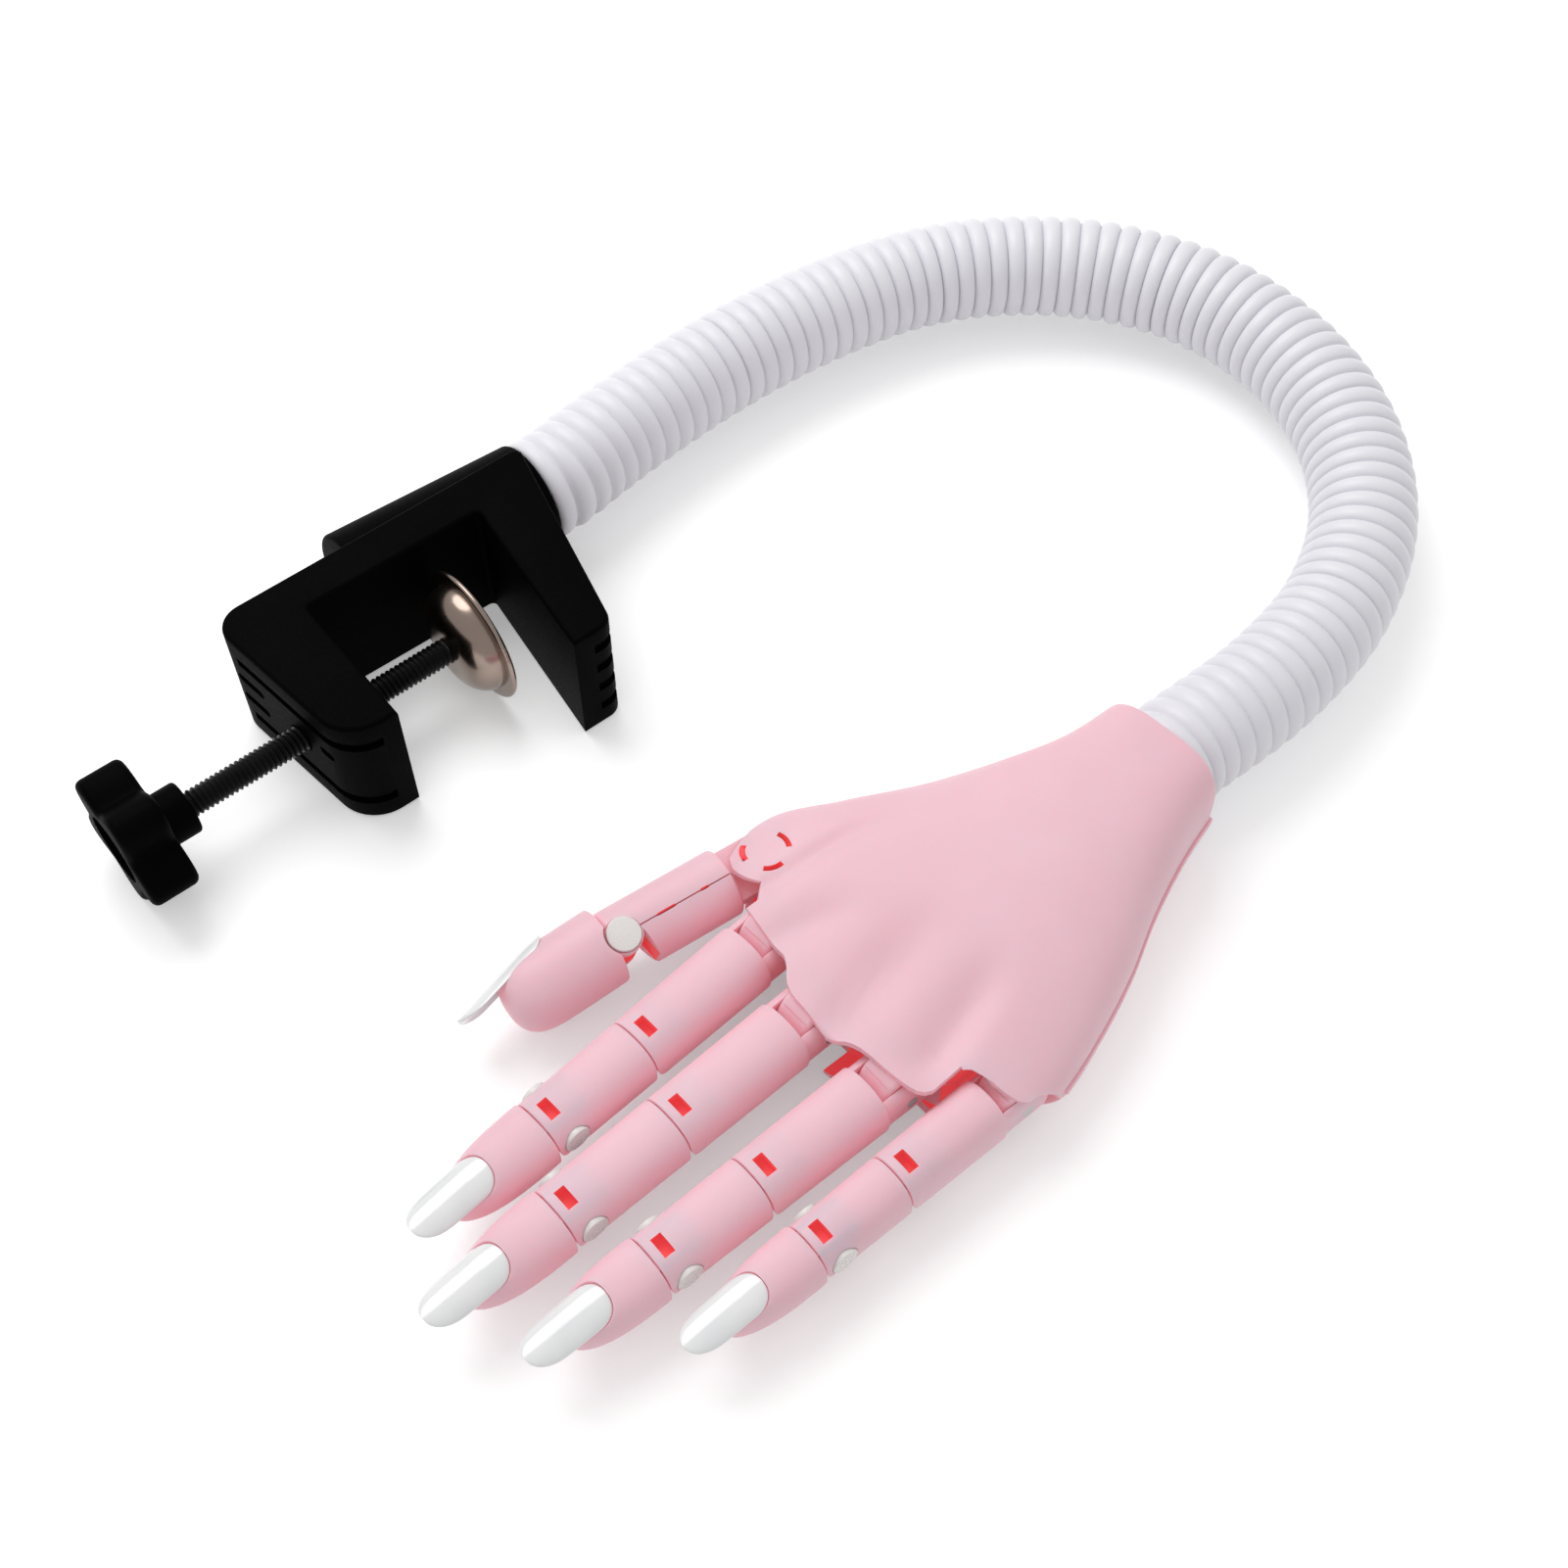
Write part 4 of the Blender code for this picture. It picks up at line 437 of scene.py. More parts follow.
def make_material(name, colour, second, patch_scale, grain_scale, grain_height, roughness,
                  metallic=0.0, specular=0.5, coat=0.0, subsurface=0.0, glow=None,
                  painted_glow_strength=0.0):
    """One Principled finish with the moulded grain group in front of it.

    A glow is painted light: a red emission, seen only by the camera, in spots hidden from the light
    round them, standing for light through thin walls.
    """
    material = bpy.data.materials.new(name)
    material.use_nodes = True
    tree = material.node_tree
    shader = tree.nodes["Principled BSDF"]
    grain = add_node(tree, "ShaderNodeGroup", {
        "Colour": (*colour, 1.0), "Second colour": (*second, 1.0), "Patch scale": patch_scale,
        "Grain scale": grain_scale, "Grain height": grain_height,
        "Low roughness": roughness[0], "High roughness": roughness[1]}, node_tree=GRAIN)
    link_up(tree, (grain, "Colour", shader, "Base Color"),
            (grain, "Roughness", shader, "Roughness"), (grain, "Normal", shader, "Normal"))
    set_inputs(shader, {"Metallic": metallic, "Specular IOR Level": specular, "Coat Weight": coat})
    # Painted glow: a camera-only emission, strongest in hidden spots such as the gaps between parts
    if glow:
        hidden = add_node(tree, "ShaderNodeGroup", {"Reach": PAINTED_GLOW_REACH}, node_tree=PAINTED_GLOW_MASK)
        strength = add_node(tree, "ShaderNodeMath", {1: painted_glow_strength}, operation="MULTIPLY")
        link_up(tree, (hidden, "Share", strength, 0), (strength, 0, shader, "Emission Strength"))
        set_inputs(shader, {"Emission Color": (*glow, 1.0)})
    if subsurface:
        set_inputs(shader, {"Subsurface Weight": subsurface, "Subsurface Radius": SCATTER_RADIUS,
                            "Subsurface Scale": SCATTER_SCALE})
    return material


# Pink plastic, with a red glow painted into hidden spots and seen only by the camera
PINK = make_material("pink_plastic", (0.850, 0.560, 0.630), (0.830, 0.525, 0.592), 26.0, 2400.0,
                     0.00002, (0.40, 0.50), specular=0.3, subsurface=0.5, glow=(1.0, 0.10, 0.12),
                     painted_glow_strength=0.26)
# Painted shade: faces cut inside hollows, slots and windows are plain pink plastic, painted a
# saturated red with a stronger painted glow
PAINTED_HOLLOW_SHADE = make_material("pink_painted_hollow_shade", (0.960, 0.180, 0.190), (0.900, 0.140, 0.150), 60.0, 2400.0,
                       0.00002, (0.50, 0.60), specular=0.2, glow=(1.0, 0.05, 0.06),
                       painted_glow_strength=0.55)
BLACK = make_material("black_plastic", (0.0010, 0.0010, 0.0011), (0.0016, 0.0016, 0.0018), 40.0,
                      1800.0, 0.00003, (0.48, 0.60), specular=0.015)
HOSE = make_material("white_hose", (0.800, 0.795, 0.835), (0.770, 0.765, 0.810), 20.0, 1500.0,
                     0.00001, (0.30, 0.38), specular=0.35)
CAP = make_material("white_caps", (0.800, 0.770, 0.745), (0.760, 0.730, 0.705), 60.0, 2200.0,
                    0.00001, (0.22, 0.32), specular=0.5)
NAIL = make_material("nail_white", (0.840, 0.840, 0.845), (0.800, 0.805, 0.812), 160.0, 900.0,
                     0.000006, (0.10, 0.16), specular=0.6, coat=0.4)
PAD_STEEL = make_material("pad_steel", (0.340, 0.270, 0.230), (0.290, 0.225, 0.190), 50.0, 2600.0,
                          0.000004, (0.17, 0.26), metallic=1.0)
BLACK_STEEL = make_material("black_steel", (0.004, 0.004, 0.004), (0.009, 0.009, 0.009), 90.0,
                            2600.0, 0.00001, (0.32, 0.46), metallic=0.4, specular=0.15)
PLAIN_STEEL = make_material("plain_steel", (0.560, 0.560, 0.570), (0.500, 0.500, 0.510), 120.0,
                            2600.0, 0.000005, (0.28, 0.38), metallic=1.0)
ALUMINIUM = make_material("link_aluminium", (0.620, 0.625, 0.635), (0.560, 0.565, 0.575), 120.0,
                          2600.0, 0.000005, (0.30, 0.42), metallic=1.0)


# Solids from numpy surfaces

def new_solid(points, faces, material):
    """A mesh object from arrays, welded and with its faces turned outwards."""
    mesh = bpy.data.meshes.new("solid")
    mesh.from_pydata(np.asarray(points, float).reshape(-1, 3).tolist(), [], faces)
    bm = bmesh.new()
    bm.from_mesh(mesh)
    bmesh.ops.remove_doubles(bm, verts=bm.verts, dist=WELD)
    bmesh.ops.recalc_face_normals(bm, faces=bm.faces)
    if bm.calc_volume(signed=True) < 0:
        bmesh.ops.reverse_faces(bm, faces=bm.faces)
    bm.to_mesh(mesh)
    bm.free()
    mesh.materials.append(material)
    item = bpy.data.objects.new("solid", mesh)
    WORKSHOP.objects.link(item)
    return item


def lofted(rings, material):
    """A closed solid through an array of rings, ring by point by xyz, with flat ends."""
    rows, columns = rings.shape[:2]
    row = np.arange(rows - 1)[:, None] * columns
    here = np.arange(columns)[None, :]
    after = (here + 1) % columns
    quads = np.stack([row + here, row + after, row + columns + after, row + columns + here], -1)
    ends = [list(range(columns))[::-1], list(range((rows - 1) * columns, rows * columns))]
    return new_solid(rings, quads.reshape(-1, 4).tolist() + ends, material)


def sections(places, y, z):
    """Rings across X: a place along it for each ring, and Y and Z, ring by point."""
    return np.stack(np.broadcast_arrays(places[:, None], y, z), -1)


def superellipse(turn, power):
    """Cosine and sine of the turn, each raised to two over the power and keeping its sign."""
    cosine = np.cos(turn)
    sine = np.sin(turn)
    share = 2 / power
    return np.sign(cosine) * np.abs(cosine) ** share, np.sign(sine) * np.abs(sine) ** share


def full_turn(sides):
    """Even angles once round, the last one a step short of the first."""
    return np.linspace(0, 2 * np.pi, sides, endpoint=False)


def rim_stations(start, end, edge, between=0):
    """Places along a length with a quarter round at each end, and how far each is drawn in."""
    if not edge:
        return np.array([start, end]), np.zeros(2)
    quarter = np.linspace(0, np.pi / 2, ROUND_STEPS + 1)
    near = start + edge * (1 - np.cos(quarter))
    inset = edge * (1 - np.sin(quarter))
    middle = np.linspace(start + edge, end - edge, between + 2)[1:-1]
    places = np.concatenate([near, middle, (start + end - near)[::-1]])
    insets = np.concatenate([inset, np.zeros(between), inset[::-1]])
    return places, insets


def bar(start, end, half_width, half_height, rise, material=PINK, edge=RIM_ROUND,
        power=FINGER_POWER):
    """Superellipse sections along X; the half sizes are functions of x, and the rims are round."""
    places, insets = rim_stations(start, end, edge, 10)
    across, up = superellipse(full_turn(SIDES), power)
    wide = half_width(places) - insets
    high = half_height(places) - insets
    return lofted(sections(places, wide[:, None] * across, rise + high[:, None] * up), material)


def inset_outline(outline, depth):
    """The outline moved inwards by a depth, each corner along the line between its two sides."""
    after = np.roll(outline, -1, 0)
    ahead = after - outline
    ahead /= np.linalg.norm(ahead, axis=1)[:, None]
    behind = np.roll(ahead, 1, 0)
    area = np.sum(outline[:, 0] * after[:, 1] - after[:, 0] * outline[:, 1])
    side = 1.0 if area > 0 else -1.0
    inward = np.stack([-(ahead + behind)[:, 1], (ahead + behind)[:, 0]], 1) * side
    inward /= np.linalg.norm(inward, axis=1)[:, None]
    flat = np.stack([-ahead[:, 1], ahead[:, 0]], 1) * side
    stretch = 1 / np.clip(np.sum(inward * flat, 1), 0.5, 1.0)
    return outline + inward * stretch[:, None] * depth


def slab(outline, low, high, edge=0.0, plane="XZ", material=PINK):
    """An outline given a thickness, with quarter-round rims. In XZ the thickness runs along Y."""
    outline = np.array(outline, float)
    rings = []
    for level, inset in zip(*rim_stations(low, high, edge)):
        first, second = (inset_outline(outline, inset) if inset else outline).T
        deep = np.full(len(first), level)
        columns = (first, deep, second) if plane == "XZ" else (first, second, deep)
        rings.append(np.stack(columns, -1))
    return lofted(np.array(rings), material)


def turned(profile, material, sides=SIDES):
    """A profile of (radius, place along X) turned about the X axis."""
    radii, places = np.array(profile, float).T
    turn = full_turn(sides)
    radii = radii[:, None]
    return lofted(sections(places, radii * np.cos(turn), radii * np.sin(turn)), material)


def rod(radius, start, end, material=PINK, edge=0.0, end_radius=None, sides=SIDES):
    """A round bar between two points, its radius running evenly to the end radius."""
    start = Vector(start)
    length = (Vector(end) - start).length
    places, insets = rim_stations(0.0, length, edge)
    last = radius if end_radius is None else end_radius
    radii = radius + (last - radius) * places / length - insets
    item = turned(np.stack([radii, places], 1), material, sides)
    item.data.transform((Vector(end) - start).to_track_quat("X", "Z").to_matrix().to_4x4())
    item.data.transform(Matrix.Translation(start))
    return item


def block(low, high, material=PINK):
    """A box between two corners, as four-point rings along X."""
    (x0, y0, z0), (x1, y1, z1) = low, high
    ring = [(y0, z0), (y1, z0), (y1, z1), (y0, z1)]
    rings = np.array([[(x, y, z) for y, z in ring] for x in (x0, x1)])
    return lofted(rings, material)


def arc(radius, start, end, steps, centre=(0.0, 0.0)):
    """Points of an arc round a centre, angles in radians."""
    turn = np.linspace(start, end, steps + 1)
    return (np.array(centre) + radius * np.stack([np.cos(turn), np.sin(turn)], 1)).tolist()


def corner_cut(points, rounds=2):
    """Chaikin's rounding of an open line: each side gives its points at one and three quarters."""
    points = np.asarray(points, float)
    for _ in range(rounds):
        near = points[:-1] * 0.75 + points[1:] * 0.25
        far = points[:-1] * 0.25 + points[1:] * 0.75
        points = np.vstack([points[:1], np.stack([near, far], 1).reshape(-1, 2), points[-1:]])
    return points


def moved(item, matrix):
    """The item with its mesh carried through a matrix, which may mirror it."""
    item.data.transform(matrix)
    if matrix.determinant() < 0:
        item.data.flip_normals()
    return item


def combine(item, others, operation):
    """Boolean the item with other solids, which are used up. Cut faces keep the cutter's finish."""
    for other in others:
        step = item.modifiers.new("combine", "BOOLEAN")
        step.operation = operation
        step.solver = "EXACT"
        step.material_mode = "TRANSFER"
        step.object = other
    graph = bpy.context.evaluated_depsgraph_get()
    mesh = bpy.data.meshes.new_from_object(item.evaluated_get(graph))
    item.modifiers.clear()
    item.data = mesh
    for other in others:
        bpy.data.objects.remove(other)
    return item


def cut(item, *others):
    """The item without what the others fill."""
    return combine(item, others, "DIFFERENCE")


def join(item, *others):
    """The item and the others as one solid."""
    return combine(item, others, "UNION")


def deliver(item, name, body, nodes=(), matrix=None, angle=SHARP_ANGLE):
    """Carry a finished piece to its place, name it, smooth it and hang it on its body."""
    if matrix is not None:
        item.data.transform(matrix)
    item.name = name
    item.data.name = name
    item.data.shade_smooth()
    item.data.set_sharp_from_angle(angle=angle)
    WORKSHOP.objects.unlink(item)
    bpy.context.scene.collection.objects.link(item)
    if body is not None:
        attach(item, body)
    if nodes:
        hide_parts(*nodes)
    return item


def hinge_frame(name, forward=None):
    """The frame at a joint: local Y along its axis, X forward and Z across both."""
    joint = JOINTS[name]
    y = Vector(joint["axis"]).normalized()
    z = Vector((0, 0, 1)) if forward is None else forward.cross(y).normalized()
    x = y.cross(z).normalized()
    z = x.cross(y)
    matrix = Matrix((x, y, z)).transposed().to_4x4()
    return Matrix.Translation(Vector(joint["pos_m"])) @ matrix


# Fingers

def finger_sizes(seam_end, width, tip_width, hinge):
    """Half width and half height as functions of x in the frame of a hinge."""
    def half(first, last):
        return lambda x: (first + (last - first) * np.clip((x + hinge) / seam_end, 0, 1)) / 2

    return half(width, tip_width), half(FINGER_HEIGHT, FINGER_TIP_HEIGHT)


def slot_cutter():
    """Room for the next phalanx's tongue, open below and in front."""
    half = HINGE_TONGUE_WIDTH / 2 + GAP
    far = FINGER_HEIGHT * 2
    # Its cut faces get painted shade: a saturated red with painted glow on plain pink plastic
    return block((-HINGE_SLOT_DEPTH, -half, -far), (far, half, HINGE_EYE_RADIUS + GAP), PAINTED_HOLLOW_SHADE)


def rear_wedge():
    """Room below the hinge on the rear phalanx, clear of its eye."""
    far = FINGER_HEIGHT * 2
    outline = [(0.0, 0.0), (-far * math.tan(REAR_RELIEF), -far), (far, -far), (far, 0.0)]
    wedge = slab(outline, -far, far)
    eye = rod(HINGE_EYE_RADIUS, (0, -far - OVERRUN, 0), (0, far + OVERRUN, 0))
    return cut(wedge, eye)


def front_wedge():
    """Room below the hinge on the front phalanx, in front of which its underside starts."""
    far = FINGER_HEIGHT * 2
    outline = [(-far, OVERRUN), (0.0, 0.0), (far * math.tan(FRONT_RELIEF), -far), (-far, -far)]
    return slab(outline, -far, far)


def hinge_tongue():
    """The tongue on the rear end of a phalanx, round its hinge pin."""
    reach = HINGE_SEAM + LUG_REACH
    outline = arc(HINGE_EYE_RADIUS, math.pi / 2, 1.5 * math.pi - FRONT_RELIEF, 16)
    outline += [(HINGE_SEAM + GAP, -HINGE_EYE_RADIUS / 2), (reach, -HINGE_EYE_RADIUS / 2),
                (reach, HINGE_EYE_RADIUS)]
    tongue = slab(outline, -HINGE_TONGUE_WIDTH / 2, HINGE_TONGUE_WIDTH / 2)
    # Cutting the window into the tongue paints the window's floor with red painted shade
    return cut(tongue, window_cutter(HINGE_EYE_RADIUS / 2, GAP))


def window_cutter(floor=0.0, grow=0.0):
    """The window in a finger's back over a hinge, from a floor up, and grown all round."""
    middle = HINGE_SEAM - WINDOW_BACK
    long = WINDOW_LENGTH / 2 + grow
    wide = WINDOW_WIDTH / 2 + grow
    # Its cut faces get painted shade: a saturated red with painted glow on plain pink plastic
    return block((middle - long, -wide, floor), (middle + long, wide, FINGER_HEIGHT), PAINTED_HOLLOW_SHADE)


def cheek_rooms(radius, inner, half_width):
    """Round room round a hinge on both sides, from a distance outwards."""
    return [rod(radius, (0, side * inner, 0), (0, side * 2 * half_width, 0)) for side in (1, -1)]


def button_rooms(half_width, radius):
    """Round recesses in both cheeks for the caps of a hinge pin."""
    return cheek_rooms(radius + GAP / 2, half_width - CAP_DEPTH, half_width)


def open_front(item, place, rise, head_width=None):
    """Cut a phalanx's far end for the next one: slot, window and relief."""
    cutters = [slot_cutter(), rear_wedge(), window_cutter()]
    if head_width is not None:
        cutters += button_rooms(head_width, BUTTON_RADIUS)
    shift = Matrix.Translation((place, 0, rise))
    return cut(item, *[moved(cutter, shift) for cutter in cutters])


def make_pin(name, node, body, half, matrix, place=0.0, rise=0.0, radius=PIN_RADIUS):
    """A plain steel hinge pin with eased ends."""
    reach = half + PIN_PROUD
    pin = rod(radius, (place, -reach, rise), (place, reach, rise), PLAIN_STEEL, RIM_ROUND)
    deliver(pin, name, body, (node,), matrix)


def make_caps(name, node, body, half, matrix, radius, place=0.0):
    """A hinge pin with a flat white cap at each end, let into the cheeks."""
    pin = rod(PIN_RADIUS, (place, -half + CAP_DEPTH, 0), (place, half - CAP_DEPTH, 0), CAP)
    for side in (1, -1):
        pin = join(pin, rod(radius, (place, side * (half - CAP_DEPTH - PIN_PROUD), 0),
                            (place, side * (half + BUTTON_PROUD), 0), CAP, RIM_ROUND))
    deliver(pin, name, body, (node,), matrix)


def nail_rings(half_width, bend, length, grow=0.0, cover=0.0):
    """Sections of a nail along X: a flat superellipse bent round an axis below, ends drawn in."""
    places = (1 - np.cos(np.linspace(0, np.pi, NAIL_STEPS))) / 2 * length
    root = np.clip(1 - places / NAIL_ROOT_ROUND, 0, 1)
    tip = np.clip(1 - (length - places) / NAIL_TIP_ROUND, 0, 1)
    full = np.sqrt(1 - root ** NAIL_ROOT_POWER) * np.sqrt(1 - tip ** NAIL_TIP_POWER)
    taper = 1 - NAIL_TAPER_SHARE * (places / length) ** 2
    wide = half_width * (NAIL_END_SHARE + (1 - NAIL_END_SHARE) * full) * taper + grow
    across, up = superellipse(full_turn(NAIL_SIDES), NAIL_EDGE_POWER)
    thin = NAIL_ROOT_THICKNESS_SHARE
    thick = NAIL_THICKNESS * (thin + (1 - thin) * np.clip(places / NAIL_ROOT_ROUND, 0, 1))
    half = thick / 2 + grow
    angle = wide[:, None] * across / bend
    lift = np.where(up > 0, cover, 0.0)
    radius = bend - NAIL_THICKNESS / 2 + half[:, None] * up + lift
    stretched = (places - length / 2) * (1 + 2 * grow / length) + length / 2
    return sections(stretched, radius * np.sin(angle), radius * np.cos(angle) - bend)


def tip_body(start, length, half_width, half_height, rise, power, end_power, drop_share):
    """A fingertip: sections that stay full and then close in a blunt round end."""
    share = np.sin(np.linspace(0, np.pi / 2, TIP_STEPS))
    places, insets = rim_stations(start, start + length, RIM_ROUND)
    near = places[:ROUND_STEPS + 1]
    inset = insets[:ROUND_STEPS + 1]
    far = near[-1] + (start + length - near[-1]) * share[1:]
    places = np.concatenate([near, far])
    inset = np.concatenate([inset, np.zeros(len(far))])
    along = np.clip((places - start) / length, 0, 1)
    fullness = np.sqrt(1 - along ** end_power) * (1 - TIP_END_SHARE) + TIP_END_SHARE
    drop = (1 - fullness) * half_height * drop_share
    across, up = superellipse(full_turn(SIDES), power)
    return lofted(sections(
        places, (half_width * fullness - inset)[:, None] * across,
        (rise - drop)[:, None] + (half_height * fullness - inset)[:, None] * up), PINK)


def make_tip(label, matrix, length, half_width, half_height, rise, slope, power=FINGER_POWER,
             end_power=TIP_POWER, drop_share=TIP_DROP_SHARE, seam=HINGE_SEAM, cheek=0.0,
             nail_length=NAIL_LENGTH, showing=NAIL_SHOWING, bend=NAIL_RADIUS,
             nail_share=NAIL_WIDTH_SHARE, lift=0.0):
    """The last phalanx and its nail, lying in a shallow bed that follows its outline."""
    start = seam + GAP
    item = tip_body(start, length - start, half_width, half_height, rise, power, end_power,
                    drop_share)
    if cheek:
        item = cut(item, *cheek_rooms(cheek, HINGE_TONGUE_WIDTH / 2 + GAP, half_width))
    else:
        item = cut(item, front_wedge())
    item = join(item, hinge_tongue())
    place = (length + showing - nail_length, 0, rise + half_height + lift - NAIL_TOP_DROP)
    seat = Matrix.Translation(place) @ Matrix.Rotation(slope, 4, "Y")
    wide = half_width * nail_share
    bed = lofted(nail_rings(wide, bend, nail_length, GAP / 2, FINGER_HEIGHT / 4), PINK)
    item = cut(item, moved(bed, seat))
    deliver(item, f"{label}_tip_shell", f"{label}_end", (f"{label}_distal",),
            matrix)
    nail = lofted(nail_rings(wide, bend, nail_length), NAIL)
    deliver(nail, f"{label}_glossy_nail", f"{label}_false_nail", (f"{label}_nail",),
            matrix @ seat)


def make_finger(label):
    """One finger: three phalanges, three pins and a nail, each on its own body."""
    seam, second_seam, tip, width, tip_width = FINGERS[label]
    first_pin = seam - HINGE_SEAM
    second_pin = second_seam - HINGE_SEAM
    base = hinge_frame(f"{label}_knuckle")
    wide, high = finger_sizes(second_seam, width, tip_width, 0.0)
    start = KNUCKLE_RADIUS + GAP
    item = bar(start, seam, wide, high, 0.0)
    half = float(wide(np.array(start)))
    outline = arc(LUG_RADIUS, math.pi / 2, 1.5 * math.pi, 20)
    outline += [(start + LUG_REACH, -LUG_RADIUS), (start + LUG_REACH, LUG_RADIUS)]
    edge = min(LUG_EDGE, LUG_EDGE_SHARE * (half - LUG_INSET - LUG_START))
    for side in (1, -1):
        ends = sorted((side * LUG_START, side * (half - LUG_INSET)))
        lug = slab(outline, *ends, edge=edge)
        hull = bar(-2 * LUG_RADIUS, start + 2 * LUG_REACH, lambda x: wide(x) - LUG_INSET,
                   lambda x: 0 * x + LUG_RADIUS, 0.0, power=LUG_POWER)
        item = join(item, combine(lug, [hull], "INTERSECT"))
    item = open_front(item, first_pin, HINGE_RISE)
    deliver(item, f"{label}_first_shell", f"{label}_base",
            (f"{label}_proximal",), base)
    make_pin(f"{label}_knuckle_axle", f"{label}_knuckle_pin", "hand", half - LUG_INSET, base)
    make_pin(f"{label}_middle_axle", f"{label}_middle_pin", f"{label}_base",
             float(wide(np.array(first_pin))) - LUG_INSET, base, first_pin, HINGE_RISE)

    middle = hinge_frame(f"{label}_middle_joint")
    wide, high = finger_sizes(second_seam, width, tip_width, first_pin)
    item = bar(HINGE_SEAM + GAP, second_seam - first_pin, wide, high, -HINGE_RISE)
    item = cut(item, front_wedge())
    item = join(item, hinge_tongue())
    half_tip = tip_width / 2
    item = open_front(item, second_pin - first_pin, 0.0, half_tip)
    deliver(item, f"{label}_second_shell", f"{label}_mid", (f"{label}_middle",),
            middle)

    last = hinge_frame(f"{label}_tip_joint")
    make_caps(f"{label}_tip_caps", f"{label}_tip_pin", f"{label}_mid", half_tip, last,
              BUTTON_RADIUS)
    make_tip(label, last, tip - second_pin, half_tip + TIP_SWELL, FINGER_TIP_HEIGHT / 2,
             -HINGE_RISE, NAIL_SLOPE)


# Thumb

def thumb_frames():
    """The frames of the thumb's base and tip hinges."""
    forward = Vector((-math.cos(THUMB_HEADING), math.sin(THUMB_HEADING), 0))
    base = hinge_frame("thumb_base_joint", forward)
    last = hinge_frame("thumb_tip_joint", forward) @ Matrix.Rotation(THUMB_TIP_TURN, 4, "Y")
    return base, last


def thumb_relief():
    """Room on the inner side for the tip to bend, clear of the round cheeks."""
    far = FINGER_HEIGHT * 2
    radius = THUMB_CHEEK_RADIUS - GAP
    outline = arc(radius, math.pi + THUMB_RELIEF_TURN, 2 * math.pi - THUMB_RELIEF_TURN, 28)
    outline += [(far, outline[-1][1]), (far, -far),
                (outline[0][0] - far * math.tan(THUMB_RELIEF_LEAN), -far)]
    return slab(outline, -far, far)


def thumb_room():
    """All that the thumb's first phalanx sweeps round the boss, through the palm's height."""
    inner, outer = THUMB_SWING
    radius = math.hypot(THUMB_BODY_START, THUMB_DEPTH / 2) + GAP
    corner = math.atan2(THUMB_DEPTH / 2, THUMB_BODY_START)
    low = -corner - inner
    high = corner + outer
    far = THUMB_TIP
    start = (radius * math.cos(low), radius * math.sin(low))
    end = (radius * math.cos(high), radius * math.sin(high))
    outline = arc(BOSS_RADIUS, high, low, 24)
    outline += [start, (start[0] + far * math.cos(inner), start[1] - far * math.sin(inner)),
                (end[0] + far * math.cos(outer), end[1] + far * math.sin(outer)), end]
    return slab(outline, -PALM_HEIGHT, PALM_HEIGHT)


def make_thumb():
    """The thumb: a first phalanx in two halves, a tip, two pins and a nail."""
    base, last = thumb_frames()
    pin = THUMB_SEAM - HINGE_SEAM
    half_width = THUMB_WIDTH / 2
    eye = arc(THUMB_EYE_RADIUS, math.pi / 2, 1.5 * math.pi, 20)
    eye += [(THUMB_EYE_REACH, -THUMB_EYE_RADIUS), (THUMB_EYE_REACH, THUMB_EYE_RADIUS)]
    half = THUMB_EYE_THICKNESS / 2 - GAP
    slit = THUMB_SPLIT_SLOT_WIDTH / 2
    reach = THUMB_TIP * 2
    to_pin = Matrix.Translation((pin, 0, 0))
    for name, low, high in (("outer", GAP / 2, reach), ("inner", -reach, -GAP / 2)):
        item = bar(THUMB_BODY_START, pin + THUMB_TIP_SEAM, lambda x: np.full(x.shape, half_width),
                   lambda x: np.full(x.shape, THUMB_DEPTH / 2), 0.0, edge=THUMB_EDGE,
                   power=THUMB_POWER)
        item = join(item, slab(eye, -half, half))
        item = join(item, rod(THUMB_CHEEK_RADIUS - 2 * GAP, (pin, -half_width + GAP, 0),
                              (pin, half_width - GAP, 0)))
        item = combine(item, [block((-reach, -reach, low), (reach, reach, high))], "INTERSECT")
        cutters = [slot_cutter(), *button_rooms(half_width, THUMB_BUTTON_RADIUS)]
        if name == "inner":
            cutters.append(thumb_relief())
        item = cut(item, *[moved(cutter, to_pin) for cutter in cutters])
        # The split's slots: their cut faces get painted shade, a saturated red on plain pink
        # plastic
        item = cut(item, *[
            block((place - length / 2, half_width - THUMB_SPLIT_SLOT_DEPTH, -slit),
                  (place + length / 2, half_width + OVERRUN, slit), PAINTED_HOLLOW_SHADE)
            for place, length in THUMB_SPLIT_SLOTS])
        deliver(item, f"thumb_{name}_half", "thumb_base",
                (f"thumb_proximal_{name}",), base)
    make_pin("thumb_base_axle", "thumb_base_pin", "hand", THUMB_PIN_HALF, base,
             radius=THUMB_PIN_RADIUS)
    make_caps("thumb_tip_caps", "thumb_tip_pin", "thumb_base", half_width, base,
              THUMB_BUTTON_RADIUS, pin)
    half_tip = THUMB_TIP_WIDTH / 2
    make_tip("thumb", last, THUMB_TIP + THUMB_TIP_REACH - pin, half_tip, half_tip,
             THUMB_TIP_RISE, THUMB_NAIL_SLOPE, power=THUMB_POWER, end_power=THUMB_END_POWER,
             drop_share=THUMB_DROP_SHARE, seam=THUMB_TIP_SEAM, cheek=THUMB_CHEEK_RADIUS,
             nail_length=THUMB_NAIL_LENGTH, showing=THUMB_NAIL_SHOWING, bend=THUMB_NAIL_RADIUS,
             nail_share=THUMB_NAIL_WIDTH_SHARE, lift=THUMB_NAIL_LIFT)


# Palm

